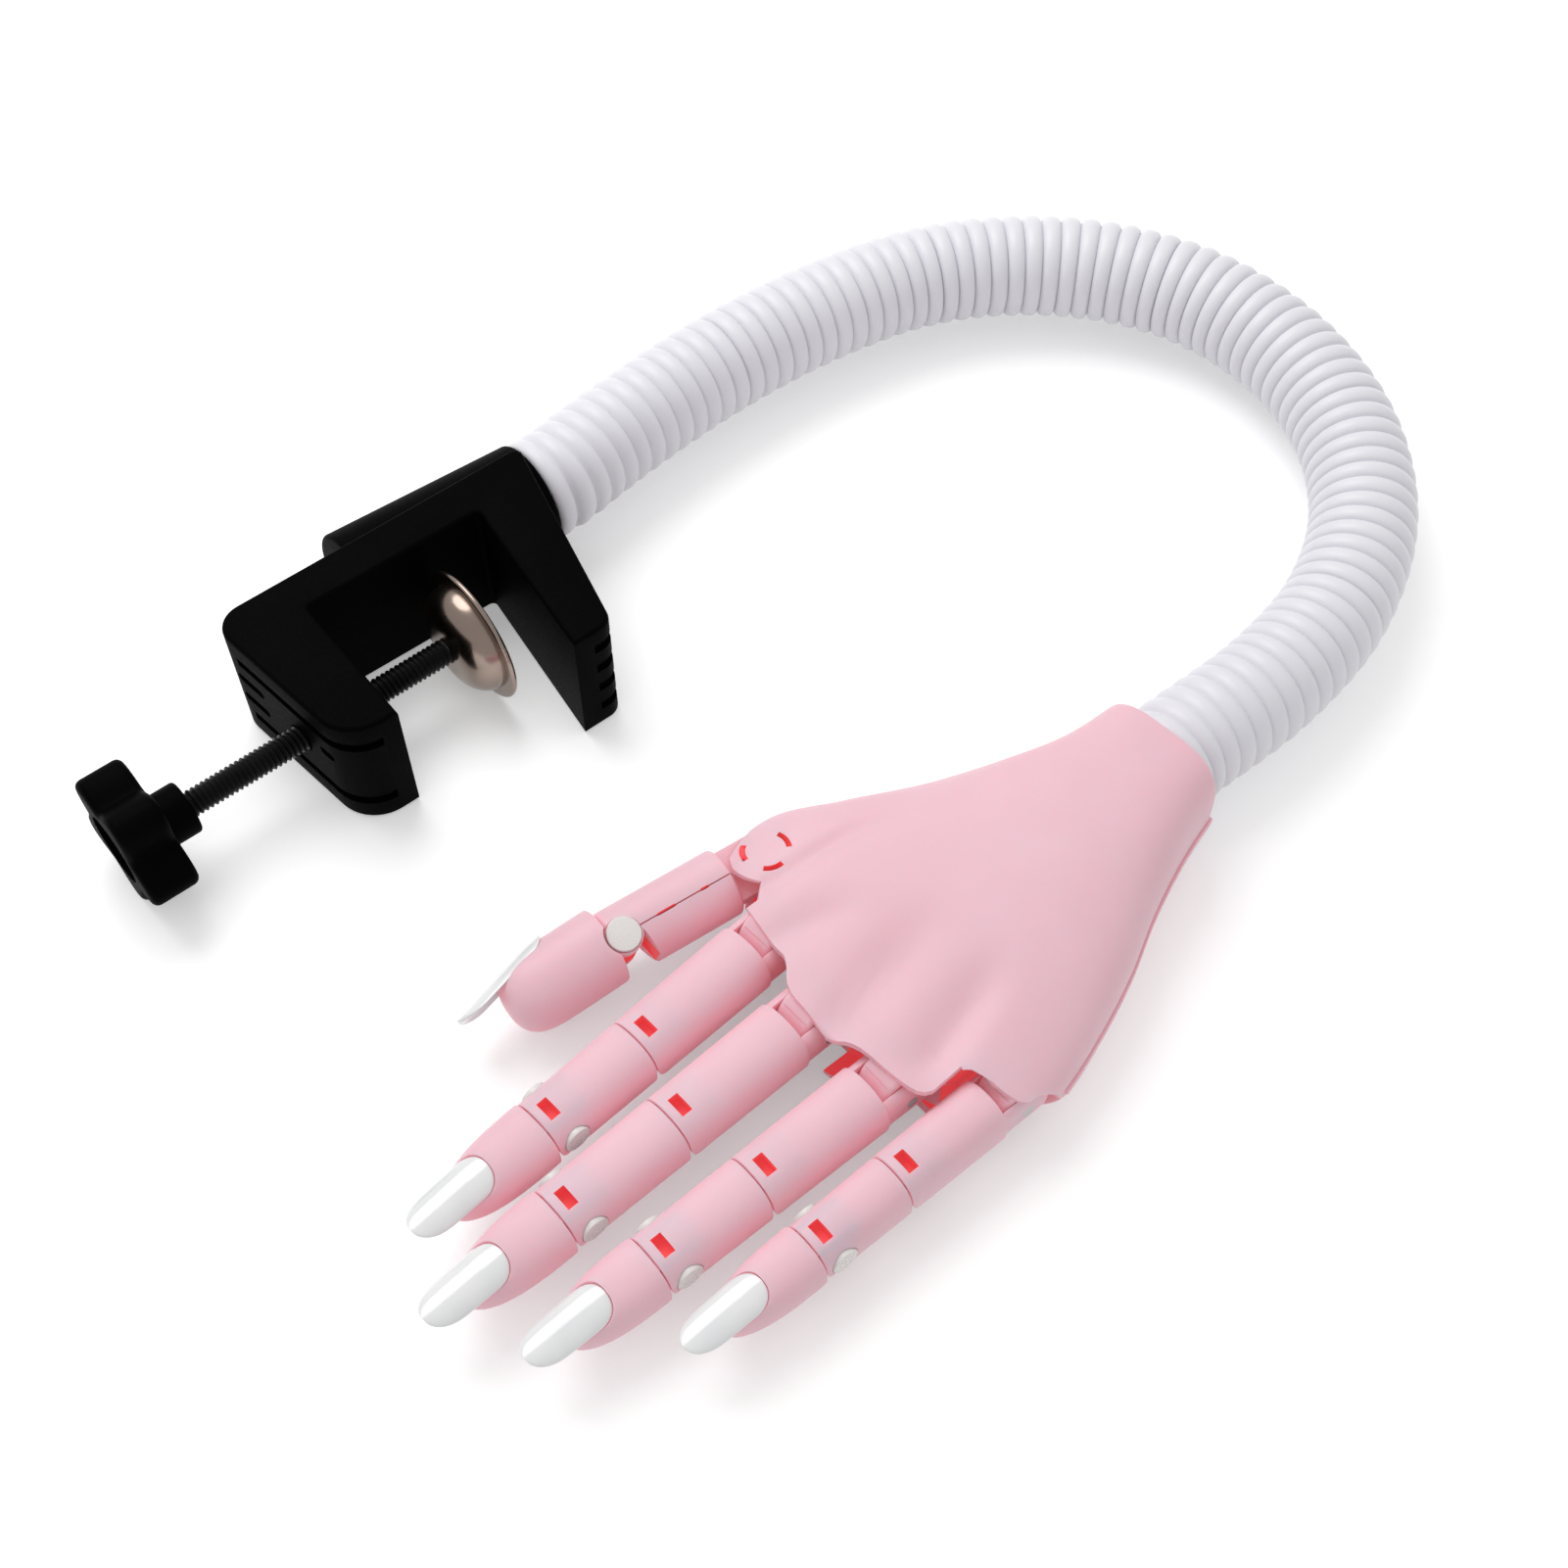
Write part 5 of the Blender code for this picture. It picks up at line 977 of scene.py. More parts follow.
def knuckle_room(label):
    """What a finger's lugs and body sweep out of the palm below the back shell's roof.

    Below, it clears the finger bent all the way down. The little finger's room also reaches up
    beside the palm's edge, to clear the finger lifted.
    """
    half = FINGERS[label][3] / 2 + LUG_CLEARANCE
    low = half + (ROOM_OUTER_REACH if label == "index" else 0.0)
    high = half + (ROOM_OUTER_REACH if label == "little" else 0.0)
    far = KNUCKLE_RADIUS * 3
    start = KNUCKLE_RADIUS + GAP
    relief = math.hypot(start, FINGER_HEIGHT / 2) + 2 * GAP
    lug = LUG_RADIUS + 2 * GAP
    turn = math.atan2(FINGER_HEIGHT / 2, start) + KNUCKLE_BEND
    corner = (relief * math.cos(turn), -relief * math.sin(turn))
    outline = [(far, lug)]
    if label == "little":
        lift = math.atan2(FINGER_HEIGHT / 2, start) + KNUCKLE_LIFT
        edge = (relief * math.cos(lift) - 3 * GAP, relief * math.sin(lift))
        outline = [(edge[0] + far, edge[1] + far * math.tan(KNUCKLE_LIFT)), edge,
                   (edge[0] + (edge[1] - lug) * math.tan(KNUCKLE_LIFT), lug)]
    outline += arc(lug, math.pi / 2, math.pi, 14) + arc(relief, math.pi, 2 * math.pi - turn, 14)
    drop = corner[1] - far * math.sin(KNUCKLE_BEND)
    outline += [(corner[0] + far * math.cos(KNUCKLE_BEND), drop), (far, drop)]
    return slab(outline, -low, high)


def knuckle_barrel():
    """The pillow-shaped eye on the palm that a finger's two lugs straddle, with a fine crease."""
    outline = [(x * KNUCKLE_RADIUS / KNUCKLE_HEIGHT, z)
               for x, z in arc(KNUCKLE_HEIGHT, math.pi / 2, 0.0, 16)]
    outline += arc(KNUCKLE_RADIUS, 0.0, -TONGUE_WRAP, 20)[1:]
    outline += [(-KNUCKLE_RADIUS, -TONGUE_DROP), (-TONGUE_LENGTH, -TONGUE_DROP),
                (-TONGUE_LENGTH, KNUCKLE_RADIUS)]
    barrel = slab(outline, -TONGUE_WIDTH / 2, TONGUE_WIDTH / 2, edge=KNUCKLE_EDGE)
    half = KNUCKLE_CREASE / 2
    crease = block((KNUCKLE_CREASE_RADIUS - KNUCKLE_CREASE, -TONGUE_WIDTH, -half),
                   (KNUCKLE_CREASE_RADIUS + OVERRUN, TONGUE_WIDTH, half))
    return cut(barrel, moved(crease, Matrix.Rotation(-KNUCKLE_CREASE_TURN, 4, "Y")))


def thumb_pocket():
    """A slot in the palm for the thumb's eye, open as far as the thumb swings."""
    reach = THUMB_EYE_RADIUS * 4
    radius = THUMB_EYE_RADIUS + 2 * GAP
    swing = THUMB_POCKET_SWING
    outline = arc(radius, math.pi / 2 + swing / 2, 1.5 * math.pi - swing / 2, 24)
    rise = reach * math.tan(swing) + radius
    outline += [(reach, -rise), (reach, rise)]
    half = THUMB_EYE_THICKNESS / 2 + GAP
    # The pocket's cut faces get painted shade: a saturated red with painted glow
    return slab(outline, -half, half, material=PAINTED_HOLLOW_SHADE)


def boss_slots():
    """Three curved slots round the thumb's pin in the back of the hand."""
    slots = []
    for centre in BOSS_SLOT_TURNS:
        start, end = centre - BOSS_SLOT_SPAN / 2, centre + BOSS_SLOT_SPAN / 2
        outline = arc(BOSS_SLOT_RADIUS + BOSS_SLOT_WIDTH / 2, start, end, 10)
        outline += arc(BOSS_SLOT_RADIUS - BOSS_SLOT_WIDTH / 2, end, start, 10)
        # The slots' cut faces get painted shade: a saturated red with painted glow
        slots.append(slab(outline, BOSS_SLOT_DEPTH, PALM_HEIGHT, material=PAINTED_HOLLOW_SHADE))
    return slots


def smooth_stations(shares):
    """The palm's station table read at even shares of its length by Hermite curves."""
    at = PALM_STATION_SHARES[:, 0]
    values = PALM_STATION_SHARES[:, 1:]
    slope = np.gradient(values, at, axis=0)
    k = np.clip(np.searchsorted(at, shares, side="right") - 1, 0, len(at) - 2)
    span = (at[k + 1] - at[k])[:, None]
    t = ((shares - at[k]) / span[:, 0])[:, None]
    return ((2 * t ** 3 - 3 * t ** 2 + 1) * values[k] + (t ** 3 - 2 * t ** 2 + t) * span * slope[k]
            + (3 * t ** 2 - 2 * t ** 3) * values[k + 1] + (t ** 3 - t ** 2) * span * slope[k + 1])


def valley_depth(along, across):
    """How far the back of the hand is pressed in: a bell across each valley, fading at its ends."""
    depth = np.zeros(across.shape)
    for (a0, b0), (a1, b1), half, deep in VALLEY_SHARES:
        t = (along - a0) / (a1 - a0)
        line = b0 + (b1 - b0) * np.clip(t, 0, 1)
        bell = np.exp(-((across - line) / half) ** 2)
        fade = np.clip((VALLEY_FADE_END - t) / VALLEY_FADE_SPAN, 0, 1)
        fade = fade * fade * (3 - 2 * fade)
        depth += deep * PALM_HEIGHT * bell * fade * np.clip(t * VALLEY_START_SLOPE + 1, 0, 1)
    return depth


def palm_solid(skin=0.0, material=PINK):
    """Sections from the wrist to the knuckles, flatter below, with valleys pressed in on top.

    With a skin, the sections lie that far inside, and the last one reaches past the knuckles.
    """
    places, insets = rim_stations(0.0, PALM_LENGTH, PALM_EDGE, PALM_STATIONS)
    shares = places / PALM_LENGTH * (PALM_HOLLOW_STRETCH if skin else 1.0)
    thumb, little, low, high = smooth_stations(np.clip(shares, 0, 1)).T
    insets = insets + skin
    power = np.interp(shares, *np.transpose(PALM_POWER_STATIONS))[:, None]
    across, up = superellipse(full_turn(PALM_SIDES)[None, :], power)
    full, down = superellipse(full_turn(PALM_SIDES), PALM_LOW_POWER)
    across = np.where(up < 0, full, across)
    up = np.where(up < 0, down, up)
    half = (thumb - little)[:, None] / 2 * PALM_WIDTH - insets[:, None]
    middle = (thumb + little)[:, None] / 2 * PALM_WIDTH
    bottom = (PALM_FLOOR + PALM_HEIGHT * low + insets)[:, None]
    top = (PALM_FLOOR + PALM_HEIGHT * high - insets)[:, None]
    y = middle + half * across
    z = (top + bottom) / 2 + (top - bottom) / 2 * up
    z -= np.clip(up * VALLEY_SIDE_SLOPE, 0, 1) * valley_depth(shares[:, None], y / PALM_WIDTH)
    return lofted(sections(WRIST[0] - PALM_LENGTH * shares, WRIST[1] + y, z), material)


def front_outline(back=0.0):
    """The plan of all that lies in front of the back shell's edge, or of that edge moved back."""
    along, across = corner_cut(FRONT_EDGE_SHARES).T
    line = np.stack([WRIST[0] - PALM_LENGTH * (along - back), WRIST[1] + PALM_WIDTH * across], 1)
    front = WRIST[0] - 2 * PALM_LENGTH
    return line.tolist() + [(front, line[-1, 1]), (front, line[0, 1])]


def largest(item):
    """Keep only a mesh's biggest connected piece, found by spreading low numbers along edges."""
    mesh = item.data
    pairs = np.empty(2 * len(mesh.edges), int)
    mesh.edges.foreach_get("vertices", pairs)
    first, second = pairs.reshape(-1, 2).T
    label = np.arange(len(mesh.vertices))
    while not np.array_equal(label[first], label[second]):
        low = np.minimum(label[first], label[second])
        np.minimum.at(label, first, low)
        np.minimum.at(label, second, low)
        label = label[label]
    keep = np.bincount(label).argmax()
    bm = bmesh.new()
    bm.from_mesh(mesh)
    bm.verts.ensure_lookup_table()
    bmesh.ops.delete(bm, geom=[bm.verts[i] for i in np.flatnonzero(label != keep)], context="VERTS")
    bm.to_mesh(mesh)
    bm.free()
    return item


def side_rim():
    """The lower shell's rim, standing a little proud along the little finger's side."""
    shares = np.linspace(0.002, PALM_RIM_REACH_SHARE, 40)
    x = WRIST[0] - PALM_LENGTH * shares
    y = WRIST[1] + PALM_WIDTH * smooth_stations(shares)[:, 1]
    outer = np.stack([x, y - PALM_RIM_PROUD], 1)
    inner = np.stack([x, y + 3 * PALM_RIM_PROUD], 1)[::-1]
    top = PALM_SPLIT - GAP / 2
    return slab(np.vstack([outer, inner]), top - PALM_RIM_HEIGHT, top, plane="XY")


def make_palm():
    """The hand's two shells with knuckle barrels, a thumb slot and the wrist's socket."""
    bases = {label: hinge_frame(f"{label}_knuckle") for label in FINGERS}
    base = thumb_frames()[0]
    solid = cut(palm_solid(), slab(front_outline(), -OVERRUN, 2 * PALM_HEIGHT, plane="XY"))
    # The hollow under the shells: its cut faces get painted shade, a saturated red with painted
    # glow
    hollow = combine(palm_solid(PALM_SKIN, PAINTED_HOLLOW_SHADE), [
        slab(front_outline(PALM_HOLLOW_SHARE), -OVERRUN, 2 * PALM_HEIGHT, plane="XY",
             material=PAINTED_HOLLOW_SHADE)], "INTERSECT")
    solid = cut(solid, hollow)
    solid = cut(solid, *[moved(knuckle_room(label), place) for label, place in bases.items()],
                moved(thumb_room(), base))
    solid = largest(solid)
    solid = join(solid, *[moved(knuckle_barrel(), place) for place in bases.values()])
    wrist = Vector(WRIST)
    socket = rod(SLEEVE_RADIUS + GAP, wrist - Vector((WRIST_SLEEVE_DEPTH, 0, 0)),
                 wrist + Vector((OVERRUN, 0, 0)))
    slots = [moved(slot, base) for slot in boss_slots()]
    solid = cut(solid, moved(thumb_pocket(), base), socket, *slots)
    rooms = []
    for share_x, share_y in PALM_SCREW_SHARES:
        spot = wrist + Vector((-PALM_LENGTH * share_x, PALM_WIDTH * share_y, 0))
        rooms.append(rod(PALM_SCREW_HEAD_RADIUS + 2 * GAP, (spot.x, spot.y, -OVERRUN),
                         (spot.x, spot.y, PALM_FLOOR + PALM_SCREW_ROOM)))
    solid = cut(solid, *rooms)
    lower = solid.copy()
    lower.data = solid.data.copy()
    WORKSHOP.objects.link(lower)
    reach = 2 * PALM_LENGTH
    above = block((-reach, -reach, PALM_SPLIT + GAP / 2), (reach, reach, reach))
    below = block((-reach, -reach, -reach), (reach, reach, PALM_SPLIT - GAP / 2))
    upper = combine(solid, [above], "INTERSECT")
    lower = join(combine(lower, [below], "INTERSECT"), side_rim())
    deliver(upper, "hand_back_shell", "hand", ("palm_upper_shell",))
    deliver(lower, "hand_palm_shell", "hand", ("palm_lower_shell",))


# Neck

def neck_line():
    """Centripetal Catmull-Rom curve through the route, as even short steps with their lengths."""
    clamp = clamp_frame()

    def on_socket(x):
        return np.array(clamp @ Vector((x, SOCKET_OFFSET, 0)))[:2]

    wrist = WRIST[:2]
    points = np.array([
        on_socket(SOCKET_END - SOCKET_DEPTH), on_socket(SOCKET_END - SOCKET_DEPTH / 2),
        on_socket(SOCKET_END), on_socket(SOCKET_END + NECK_STRAIGHT_END),
        *(NECK_ROUTE + ROUTE_SHIFT),
        wrist + (NECK_STRAIGHT_END, 0), wrist, wrist - (WRIST_SOCKET_DEPTH / 2, 0),
        wrist - (WRIST_SOCKET_DEPTH, 0)])
    ends = np.vstack([points[0] * 2 - points[1], points, points[-1] * 2 - points[-2]])
    fine = []
    for p in zip(ends, ends[1:], ends[2:], ends[3:]):
        knots = np.cumsum([0.0] + [math.sqrt(np.linalg.norm(b - a)) for a, b in zip(p, p[1:])])
        count = max(2, round(np.linalg.norm(p[2] - p[1]) / ROUTE_STEP))
        t = (knots[1] + (knots[2] - knots[1]) * np.arange(count) / count)[:, None]

        def between(a, b, first, last):
            share = (t - knots[first]) / (knots[last] - knots[first])
            return a * (1 - share) + b * share

        a1 = between(p[0], p[1], 0, 1)
        a2 = between(p[1], p[2], 1, 2)
        a3 = between(p[2], p[3], 2, 3)
        fine.append(between(between(a1, a2, 0, 2), between(a2, a3, 1, 3), 1, 2))
    line = np.vstack([*fine, points[-1:]])
    steps = np.linalg.norm(np.diff(line, axis=0), axis=1)
    lengths = np.concatenate([[0.0], np.cumsum(steps)]) - SOCKET_DEPTH
    return line, lengths


def make_neck():
    """The ribbed hose: round hoops with narrow valleys, one length across each neck joint."""
    line, lengths = neck_line()
    free = lengths[-1] - WRIST_SOCKET_DEPTH

    def spot(s):
        return np.stack([np.interp(s, lengths, line[:, 0]), np.interp(s, lengths, line[:, 1])], -1)

    pitch = free / RIB_COUNT
    step = free / (LINK_COUNT - 1)
    for number in range(1, LINK_COUNT):
        start = GAP if number == 1 else step * (number - 1)
        end = free + WRIST_SLEEVE_DEPTH - GAP if number == LINK_COUNT - 1 else step * number
        rows = int(round((end - start) / pitch * RIB_STEPS)) + 1
        s = np.linspace(start, end, rows)
        phase = np.mod(s / pitch, 1.0)
        hoop = np.sqrt(1 - np.abs(2 * phase - 1) ** RIB_POWER)
        radius = SLEEVE_VALLEY_RADIUS + (SLEEVE_RADIUS - SLEEVE_VALLEY_RADIUS) * hoop
        centre = spot(s)
        ahead = spot(s + ROUTE_STEP) - spot(s - ROUTE_STEP)
        ahead /= np.linalg.norm(ahead, axis=1)[:, None]
        turn = full_turn(SIDES)
        out = radius[:, None] * np.cos(turn)
        rings = np.stack([
            centre[:, 0, None] - ahead[:, 1, None] * out,
            centre[:, 1, None] + ahead[:, 0, None] * out,
            WRIST[2] + radius[:, None] * np.sin(turn),
        ], -1)
        item = lofted(rings, HOSE)
        nodes = [f"sleeve_section_{number}"]
        if number == LINK_COUNT - 1:
            nodes.append("sleeve_section_7")
        deliver(item, f"hose_length_{number}", None, nodes, angle=SOFT_ANGLE)
        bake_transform(item)


# Clamp

def clamp_frame():
    """The clamp's frame: X along the screw towards the fixed jaw, Y towards the spine."""
    joint = JOINTS["pad_slide"]
    x = Vector(joint["axis"])
    y = Vector((-x.y, x.x, 0))
    matrix = Matrix((x, y, Vector((0, 0, 1)))).transposed().to_4x4()
    return Matrix.Translation(Vector(joint["pos_m"])) @ matrix


def rounded(corners, steps=10):
    """An outline whose corners, given as (point, radius), are turned into arcs."""
    points = []
    count = len(corners)
    for i, (corner, radius) in enumerate(corners):
        here = Vector(corner)
        before = (Vector(corners[i - 1][0]) - here).normalized()
        after = (Vector(corners[(i + 1) % count][0]) - here).normalized()
        if radius <= 0:
            points.append(tuple(here))
            continue
        half = before.angle(after) / 2
        reach = radius / math.tan(half)
        centre = here + (before + after).normalized() * (radius / math.sin(half))
        first = here + before * reach - centre
        last = here + after * reach - centre
        turn = first.angle_signed(last)
        start = math.atan2(first.y, first.x)
        points += arc(radius, start, start - turn, steps, (centre.x, centre.y))
    return points


def clamp_outline():
    """The C of the clamp in the screw's plane, both jaws tapering to their tips."""
    root = MOUTH_START + MOUTH_WIDTH
    tip = root - FIXED_JAW_LEAN
    return rounded([
        ((MOUTH_START - SCREW_JAW_ROOT_WIDTH, SPINE_OUTER), SPINE_CORNER),
        ((MOUTH_START - SCREW_JAW_TIP_WIDTH, -SCREW_JAW_REACH), SCREW_JAW_CORNER),
        ((MOUTH_START, -SCREW_JAW_REACH), 0.0),
        ((MOUTH_START, SPINE_OUTER - SPINE_THICKNESS_SCREW_END), MOUTH_CORNER),
        ((root, SPINE_OUTER - SPINE_THICKNESS_SOCKET_END), MOUTH_CORNER),
        ((tip, -FIXED_JAW_REACH), 0.0),
        ((tip + FIXED_JAW_TIP_WIDTH, -FIXED_JAW_REACH), FIXED_JAW_CORNER),
        ((root + FIXED_JAW_ROOT_WIDTH, SPINE_OUTER), SOCKET_END_CORNER),
    ])


def skin_groove(low, high, depth):
    """A groove that follows the clamp's outline within a box from low to high."""
    box = block(low, high, BLACK)
    core = inset_outline(np.array(clamp_outline()), depth)
    return cut(box, slab(core, -CLAMP_THICKNESS, CLAMP_THICKNESS, plane="XY", material=BLACK))


def jaw_grooves():
    """Two long grooves round the screw jaw's tip and three short ones beside the screw."""
    grooves = []
    half = GROOVE_WIDTH / 2
    for rise in (GROOVE_RISE, -GROOVE_RISE):
        grooves.append(skin_groove(
            (-2 * SCREW_JAW_ROOT_WIDTH, -SCREW_JAW_REACH - OVERRUN, rise - half),
            (MOUTH_START - SCREW_JAW_TIP_WIDTH * GROOVE_TIP_SHARE, GROOVE_START, rise + half),
            GROOVE_DEPTH))
    lean = -(SCREW_JAW_ROOT_WIDTH - SCREW_JAW_TIP_WIDTH) / (SPINE_OUTER + SCREW_JAW_REACH)
    face = MOUTH_START - SCREW_JAW_TIP_WIDTH + lean * SCREW_JAW_REACH
    # Lays a groove along the jaw's leaning face: its length runs in Y and its depth in X
    along_face = Matrix(((lean, 1, 0, 0), (1, 0, 0, 0), (0, 0, 1, 0), (0, 0, 0, 1)))
    for rise, low, length in ((SHORT_GROOVE_RISE, SHORT_GROOVE_PLACE, SHORT_GROOVE_LENGTH),
                              (-SHORT_GROOVE_RISE, SHORT_GROOVE_PLACE, SHORT_GROOVE_LENGTH),
                              (SHORT_GROOVE_RISE, -SHORT_GROOVE_PLACE, SHORT_GROOVE_LENGTH / 2)):
        outline = arc(half, math.pi / 2, 1.5 * math.pi, 8, (low + half, rise))
        outline += arc(half, -math.pi / 2, math.pi / 2, 8, (low + length - half, rise))
        groove = slab(outline, face - SCREW_JAW_TIP_WIDTH, face + GROOVE_DEPTH, material=BLACK)
        grooves.append(moved(groove, along_face))
    return grooves


def make_clamp():
    """The moulded clamp: a C body and the tube that holds the gooseneck."""
    half = CLAMP_THICKNESS / 2
    body = slab(clamp_outline(), -half, half, CLAMP_EDGE_ROUND, "XY", BLACK)
    tube = rod(SOCKET_RADIUS, (SOCKET_START, SOCKET_OFFSET, 0), (SOCKET_END, SOCKET_OFFSET, 0),
               BLACK, CLAMP_EDGE_ROUND, SOCKET_MOUTH_RADIUS)
    far = 2 * FIXED_JAW_REACH
    end = MOUTH_START + MOUTH_WIDTH
    mouth = [(MOUTH_START, -far), (end, -far),
             (end, SPINE_OUTER - SPINE_THICKNESS_SOCKET_END + GAP),
             (MOUTH_START, SPINE_OUTER - SPINE_THICKNESS_SCREW_END + GAP)]
    tube = cut(tube, slab(mouth, -CLAMP_THICKNESS, CLAMP_THICKNESS, plane="XY", material=BLACK))
    body = join(body, tube)
    way = rod(SCREW_RADIUS + SCREW_CLEARANCE, (-SCREW_JAW_ROOT_WIDTH, 0, 0),
              (MOUTH_START + OVERRUN, 0, 0), BLACK)
    notches = []
    outer = end - FIXED_JAW_LEAN + FIXED_JAW_TIP_WIDTH
    for i in range(NOTCH_COUNT):
        level = (i - (NOTCH_COUNT - 1) / 2) * NOTCH_PITCH
        notches.append(skin_groove(
            (outer - NOTCH_LENGTH, -FIXED_JAW_REACH - OVERRUN, level - NOTCH_WIDTH / 2),
            (outer + 2 * OVERRUN, -FIXED_JAW_REACH + NOTCH_RISE, level + NOTCH_WIDTH / 2),
            NOTCH_DEPTH))
    body = cut(body, way, *jaw_grooves(), *notches)
    deliver(body, "clamp_moulding", "clamp", ("clamp_body",), clamp_frame())


def make_screw():
    """A threaded rod: the radius follows a rounded ridge that winds once each pitch."""
    start = HUB_START - HUB_LENGTH
    end = PAD_FACE - PAD_RIM - PAD_DOME_HEIGHT
    rows = int((end - start) / SCREW_PITCH * THREAD_ROWS)
    x = np.linspace(start, end, rows)
    turn = full_turn(THREAD_SIDES)
    wave = (1 + np.cos(2 * np.pi * x[:, None] / SCREW_PITCH - turn)) / 2
    radius = SCREW_RADIUS - SCREW_THREAD_DEPTH * (1 - wave ** THREAD_POWER)
    item = lofted(sections(x, radius * np.cos(turn), radius * np.sin(turn)), BLACK_STEEL)
    deliver(item, "clamp_screw_thread", "screw", ("clamp_screw",), clamp_frame(),
            angle=SOFT_ANGLE)


def make_knob():
    """A five-lobed knob with round edges, a hub and a dished outer face."""
    inner = HUB_START - HUB_LENGTH
    turn = full_turn(KNOB_LOBES * KNOB_LOBE_STEPS)
    lobe = ((1 + np.cos(KNOB_LOBES * turn)) / 2) ** KNOB_LOBE_POWER
    radius = KNOB_VALLEY_RADIUS + (KNOB_RADIUS - KNOB_VALLEY_RADIUS) * lobe
    outline = np.stack([radius * np.cos(turn), radius * np.sin(turn)], 1)
    knob = slab(outline, -KNOB_THICKNESS / 2, KNOB_THICKNESS / 2, KNOB_EDGE, "XY", BLACK)
    moved(knob, Matrix.Rotation(-math.pi / 2, 4, "Y"))
    moved(knob, Matrix.Rotation(KNOB_TURN, 4, "X"))
    moved(knob, Matrix.Translation((inner - KNOB_THICKNESS / 2, 0, 0)))
    hub = rod(HUB_RADIUS, (inner - OVERRUN, 0, 0), (HUB_START, 0, 0), BLACK, HUB_EDGE)
    knob = join(knob, hub)
    dish = rod(KNOB_RECESS_RADIUS, (inner - KNOB_THICKNESS - OVERRUN, 0, 0),
               (inner - KNOB_THICKNESS + KNOB_RECESS_DEPTH, 0, 0), BLACK)
    deliver(cut(knob, dish), "clamp_knob", "screw", ("knob",), clamp_frame())


def make_pad():
    """A pressed steel foot: rolled rim, domed back and a neck round the screw's ball."""
    back = PAD_FACE - PAD_RIM - PAD_DOME_HEIGHT
    roll = PAD_RIM / 2
    bulge = PAD_DOME_RADIUS - PAD_NECK_RADIUS
    profile = [(0.0, PAD_FACE)]
    profile += [(PAD_RADIUS - roll + out, PAD_FACE - roll - down)
                for out, down in arc(roll, -math.pi / 2, math.pi / 2, 8)]
    profile += [(PAD_NECK_RADIUS + bulge * out, PAD_FACE - PAD_RIM - PAD_DOME_HEIGHT * down)
                for out, down in arc(1.0, 0.0, math.pi / 2, 15)[:-1]]
    profile += [(PAD_NECK_RADIUS, back), (0.0, back)]
    deliver(turned(profile, PAD_STEEL, PAD_SIDES), "pressed_pad", "pad", ("pad",),
            clamp_frame())


def dress_plain_nodes():
    """Finishes for the CAD nodes that keep their own shape."""
    steel = ["clamp_nut", "pad_ball", "palm_screw_1", "palm_screw_2", "palm_screw_3"]
    finishes = {name: PLAIN_STEEL for name in steel}
    finishes.update({f"neck_link_{i}": ALUMINIUM for i in range(1, LINK_COUNT + 1)})
    for name, material in finishes.items():
        mesh = frame["nodes"][name].data
        if mesh.materials:
            mesh.materials[0] = material
        else:
            mesh.materials.append(material)


# Stage

def stand(name, data, place, looking):
    """A lamp or camera at a place, turned to look in a direction."""
    item = bpy.data.objects.new(name, data)
    item.location = place
    item.rotation_mode = "QUATERNION"
    item.rotation_quaternion = looking.to_track_quat("-Z", "Y")
    bpy.context.scene.collection.objects.link(item)
    return item


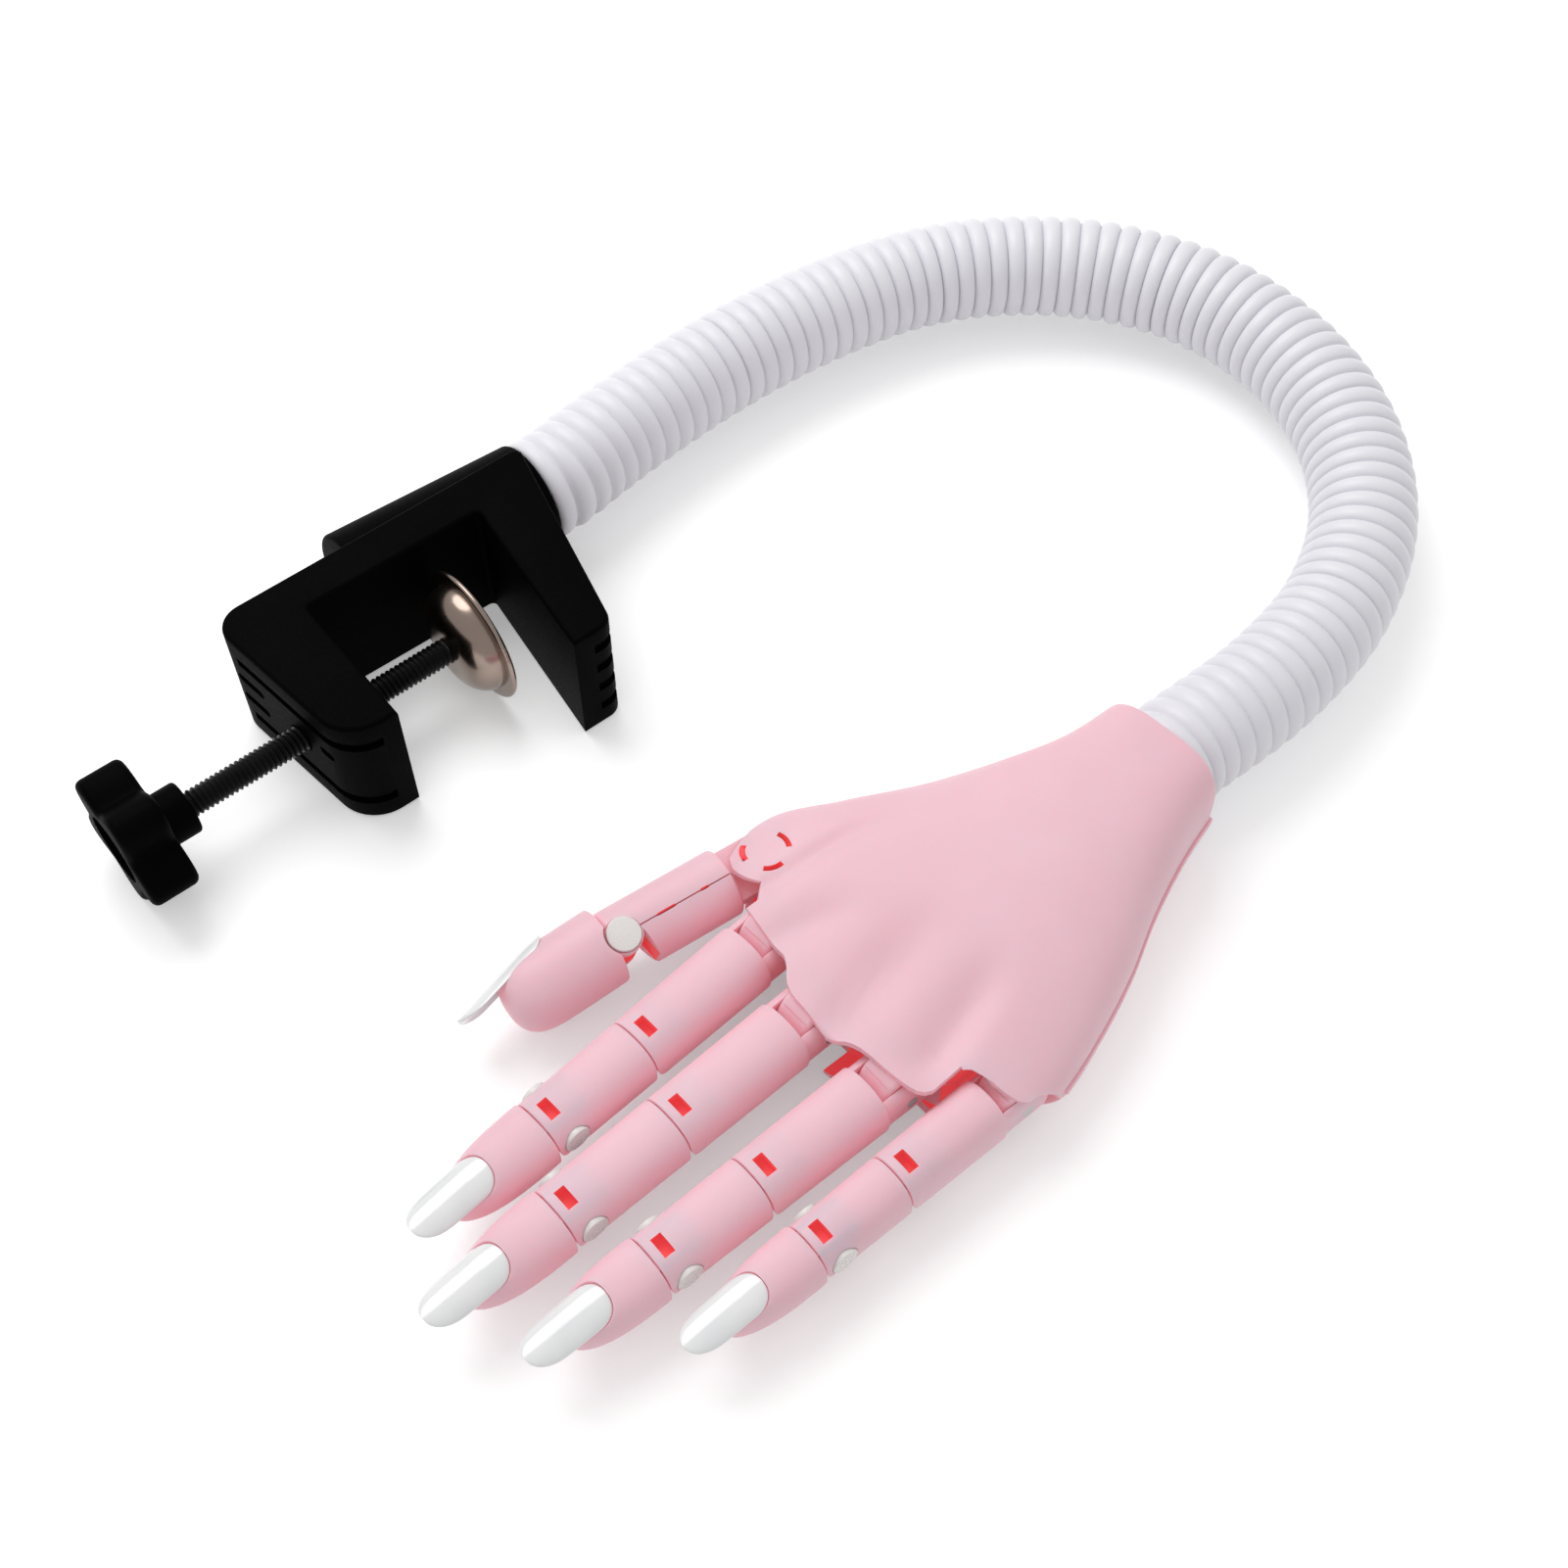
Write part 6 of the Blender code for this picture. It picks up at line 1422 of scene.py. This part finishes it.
def make_stage():
    """A plain pale floor under a white sky, one soft key lamp and a camera."""
    floor_mesh = bpy.data.meshes.new("floor")
    floor_mesh.from_pydata([(x * FLOOR_REACH, y * FLOOR_REACH, 0)
                            for x, y in ((-1, -1), (1, -1), (1, 1), (-1, 1))], [], [(0, 1, 2, 3)])
    floor = bpy.data.objects.new("floor", floor_mesh)
    bpy.context.scene.collection.objects.link(floor)
    material = bpy.data.materials.new("pale_floor")
    material.use_nodes = True
    tree = material.node_tree
    tree.nodes.clear()
    output = add_node(tree, "ShaderNodeOutputMaterial")
    matt = add_node(tree, "ShaderNodeBsdfDiffuse", {"Color": FLOOR_COLOUR})
    glow = add_node(tree, "ShaderNodeEmission", {"Color": WHITE})
    both = add_node(tree, "ShaderNodeAddShader")
    path = add_node(tree, "ShaderNodeLightPath")
    seen, seen_too = [add_node(tree, "ShaderNodeMath", operation="MAXIMUM") for _ in range(2)]
    level = add_node(tree, "ShaderNodeMath", {1: FLOOR_GLOW}, operation="MULTIPLY")
    link_up(tree, (path, "Is Camera Ray", seen, 0), (path, "Is Glossy Ray", seen, 1),
            (seen, 0, seen_too, 0), (path, "Is Transmission Ray", seen_too, 1),
            (seen_too, 0, level, 0), (level, 0, glow, "Strength"),
            (matt, 0, both, 0), (glow, 0, both, 1), (both, 0, output, "Surface"))
    floor_mesh.materials.append(material)

    world = bpy.data.worlds.new("studio")
    bpy.context.scene.world = world
    world.use_nodes = True
    tree = world.node_tree
    sky = tree.nodes["Background"]
    set_inputs(sky, {"Color": WHITE})
    path = add_node(tree, "ShaderNodeLightPath")
    level = add_node(tree, "ShaderNodeMapRange", {"To Min": SKY_LIGHT, "To Max": 1.0})
    link_up(tree, (path, "Is Camera Ray", level, "Value"), (level, "Result", sky, "Strength"))

    key = bpy.data.lights.new("key", "AREA")
    key.shape = "DISK"
    key.size = KEY_SIZE
    key.energy = KEY_ENERGY
    stand("key", key, KEY_PLACE, Vector(KEY_TARGET) - Vector(KEY_PLACE))

    lens = bpy.data.cameras.new("camera")
    lens.lens = CAMERA_LENS
    lens.sensor_width = CAMERA_SENSOR
    lens.clip_start, lens.clip_end = CAMERA_CLIP
    flat = math.cos(CAMERA_ELEVATION)
    bpy.context.scene.camera = stand("camera", lens, CAMERA_PLACE, Vector((
        math.sin(CAMERA_HEADING) * flat, math.cos(CAMERA_HEADING) * flat,
        -math.sin(CAMERA_ELEVATION))))
    bpy.context.scene.view_settings.view_transform = "Standard"


make_stage()
make_neck()
make_clamp()
make_screw()
make_knob()
make_pad()
make_palm()
for finger in FINGERS:
    make_finger(finger)
make_thumb()
dress_plain_nodes()
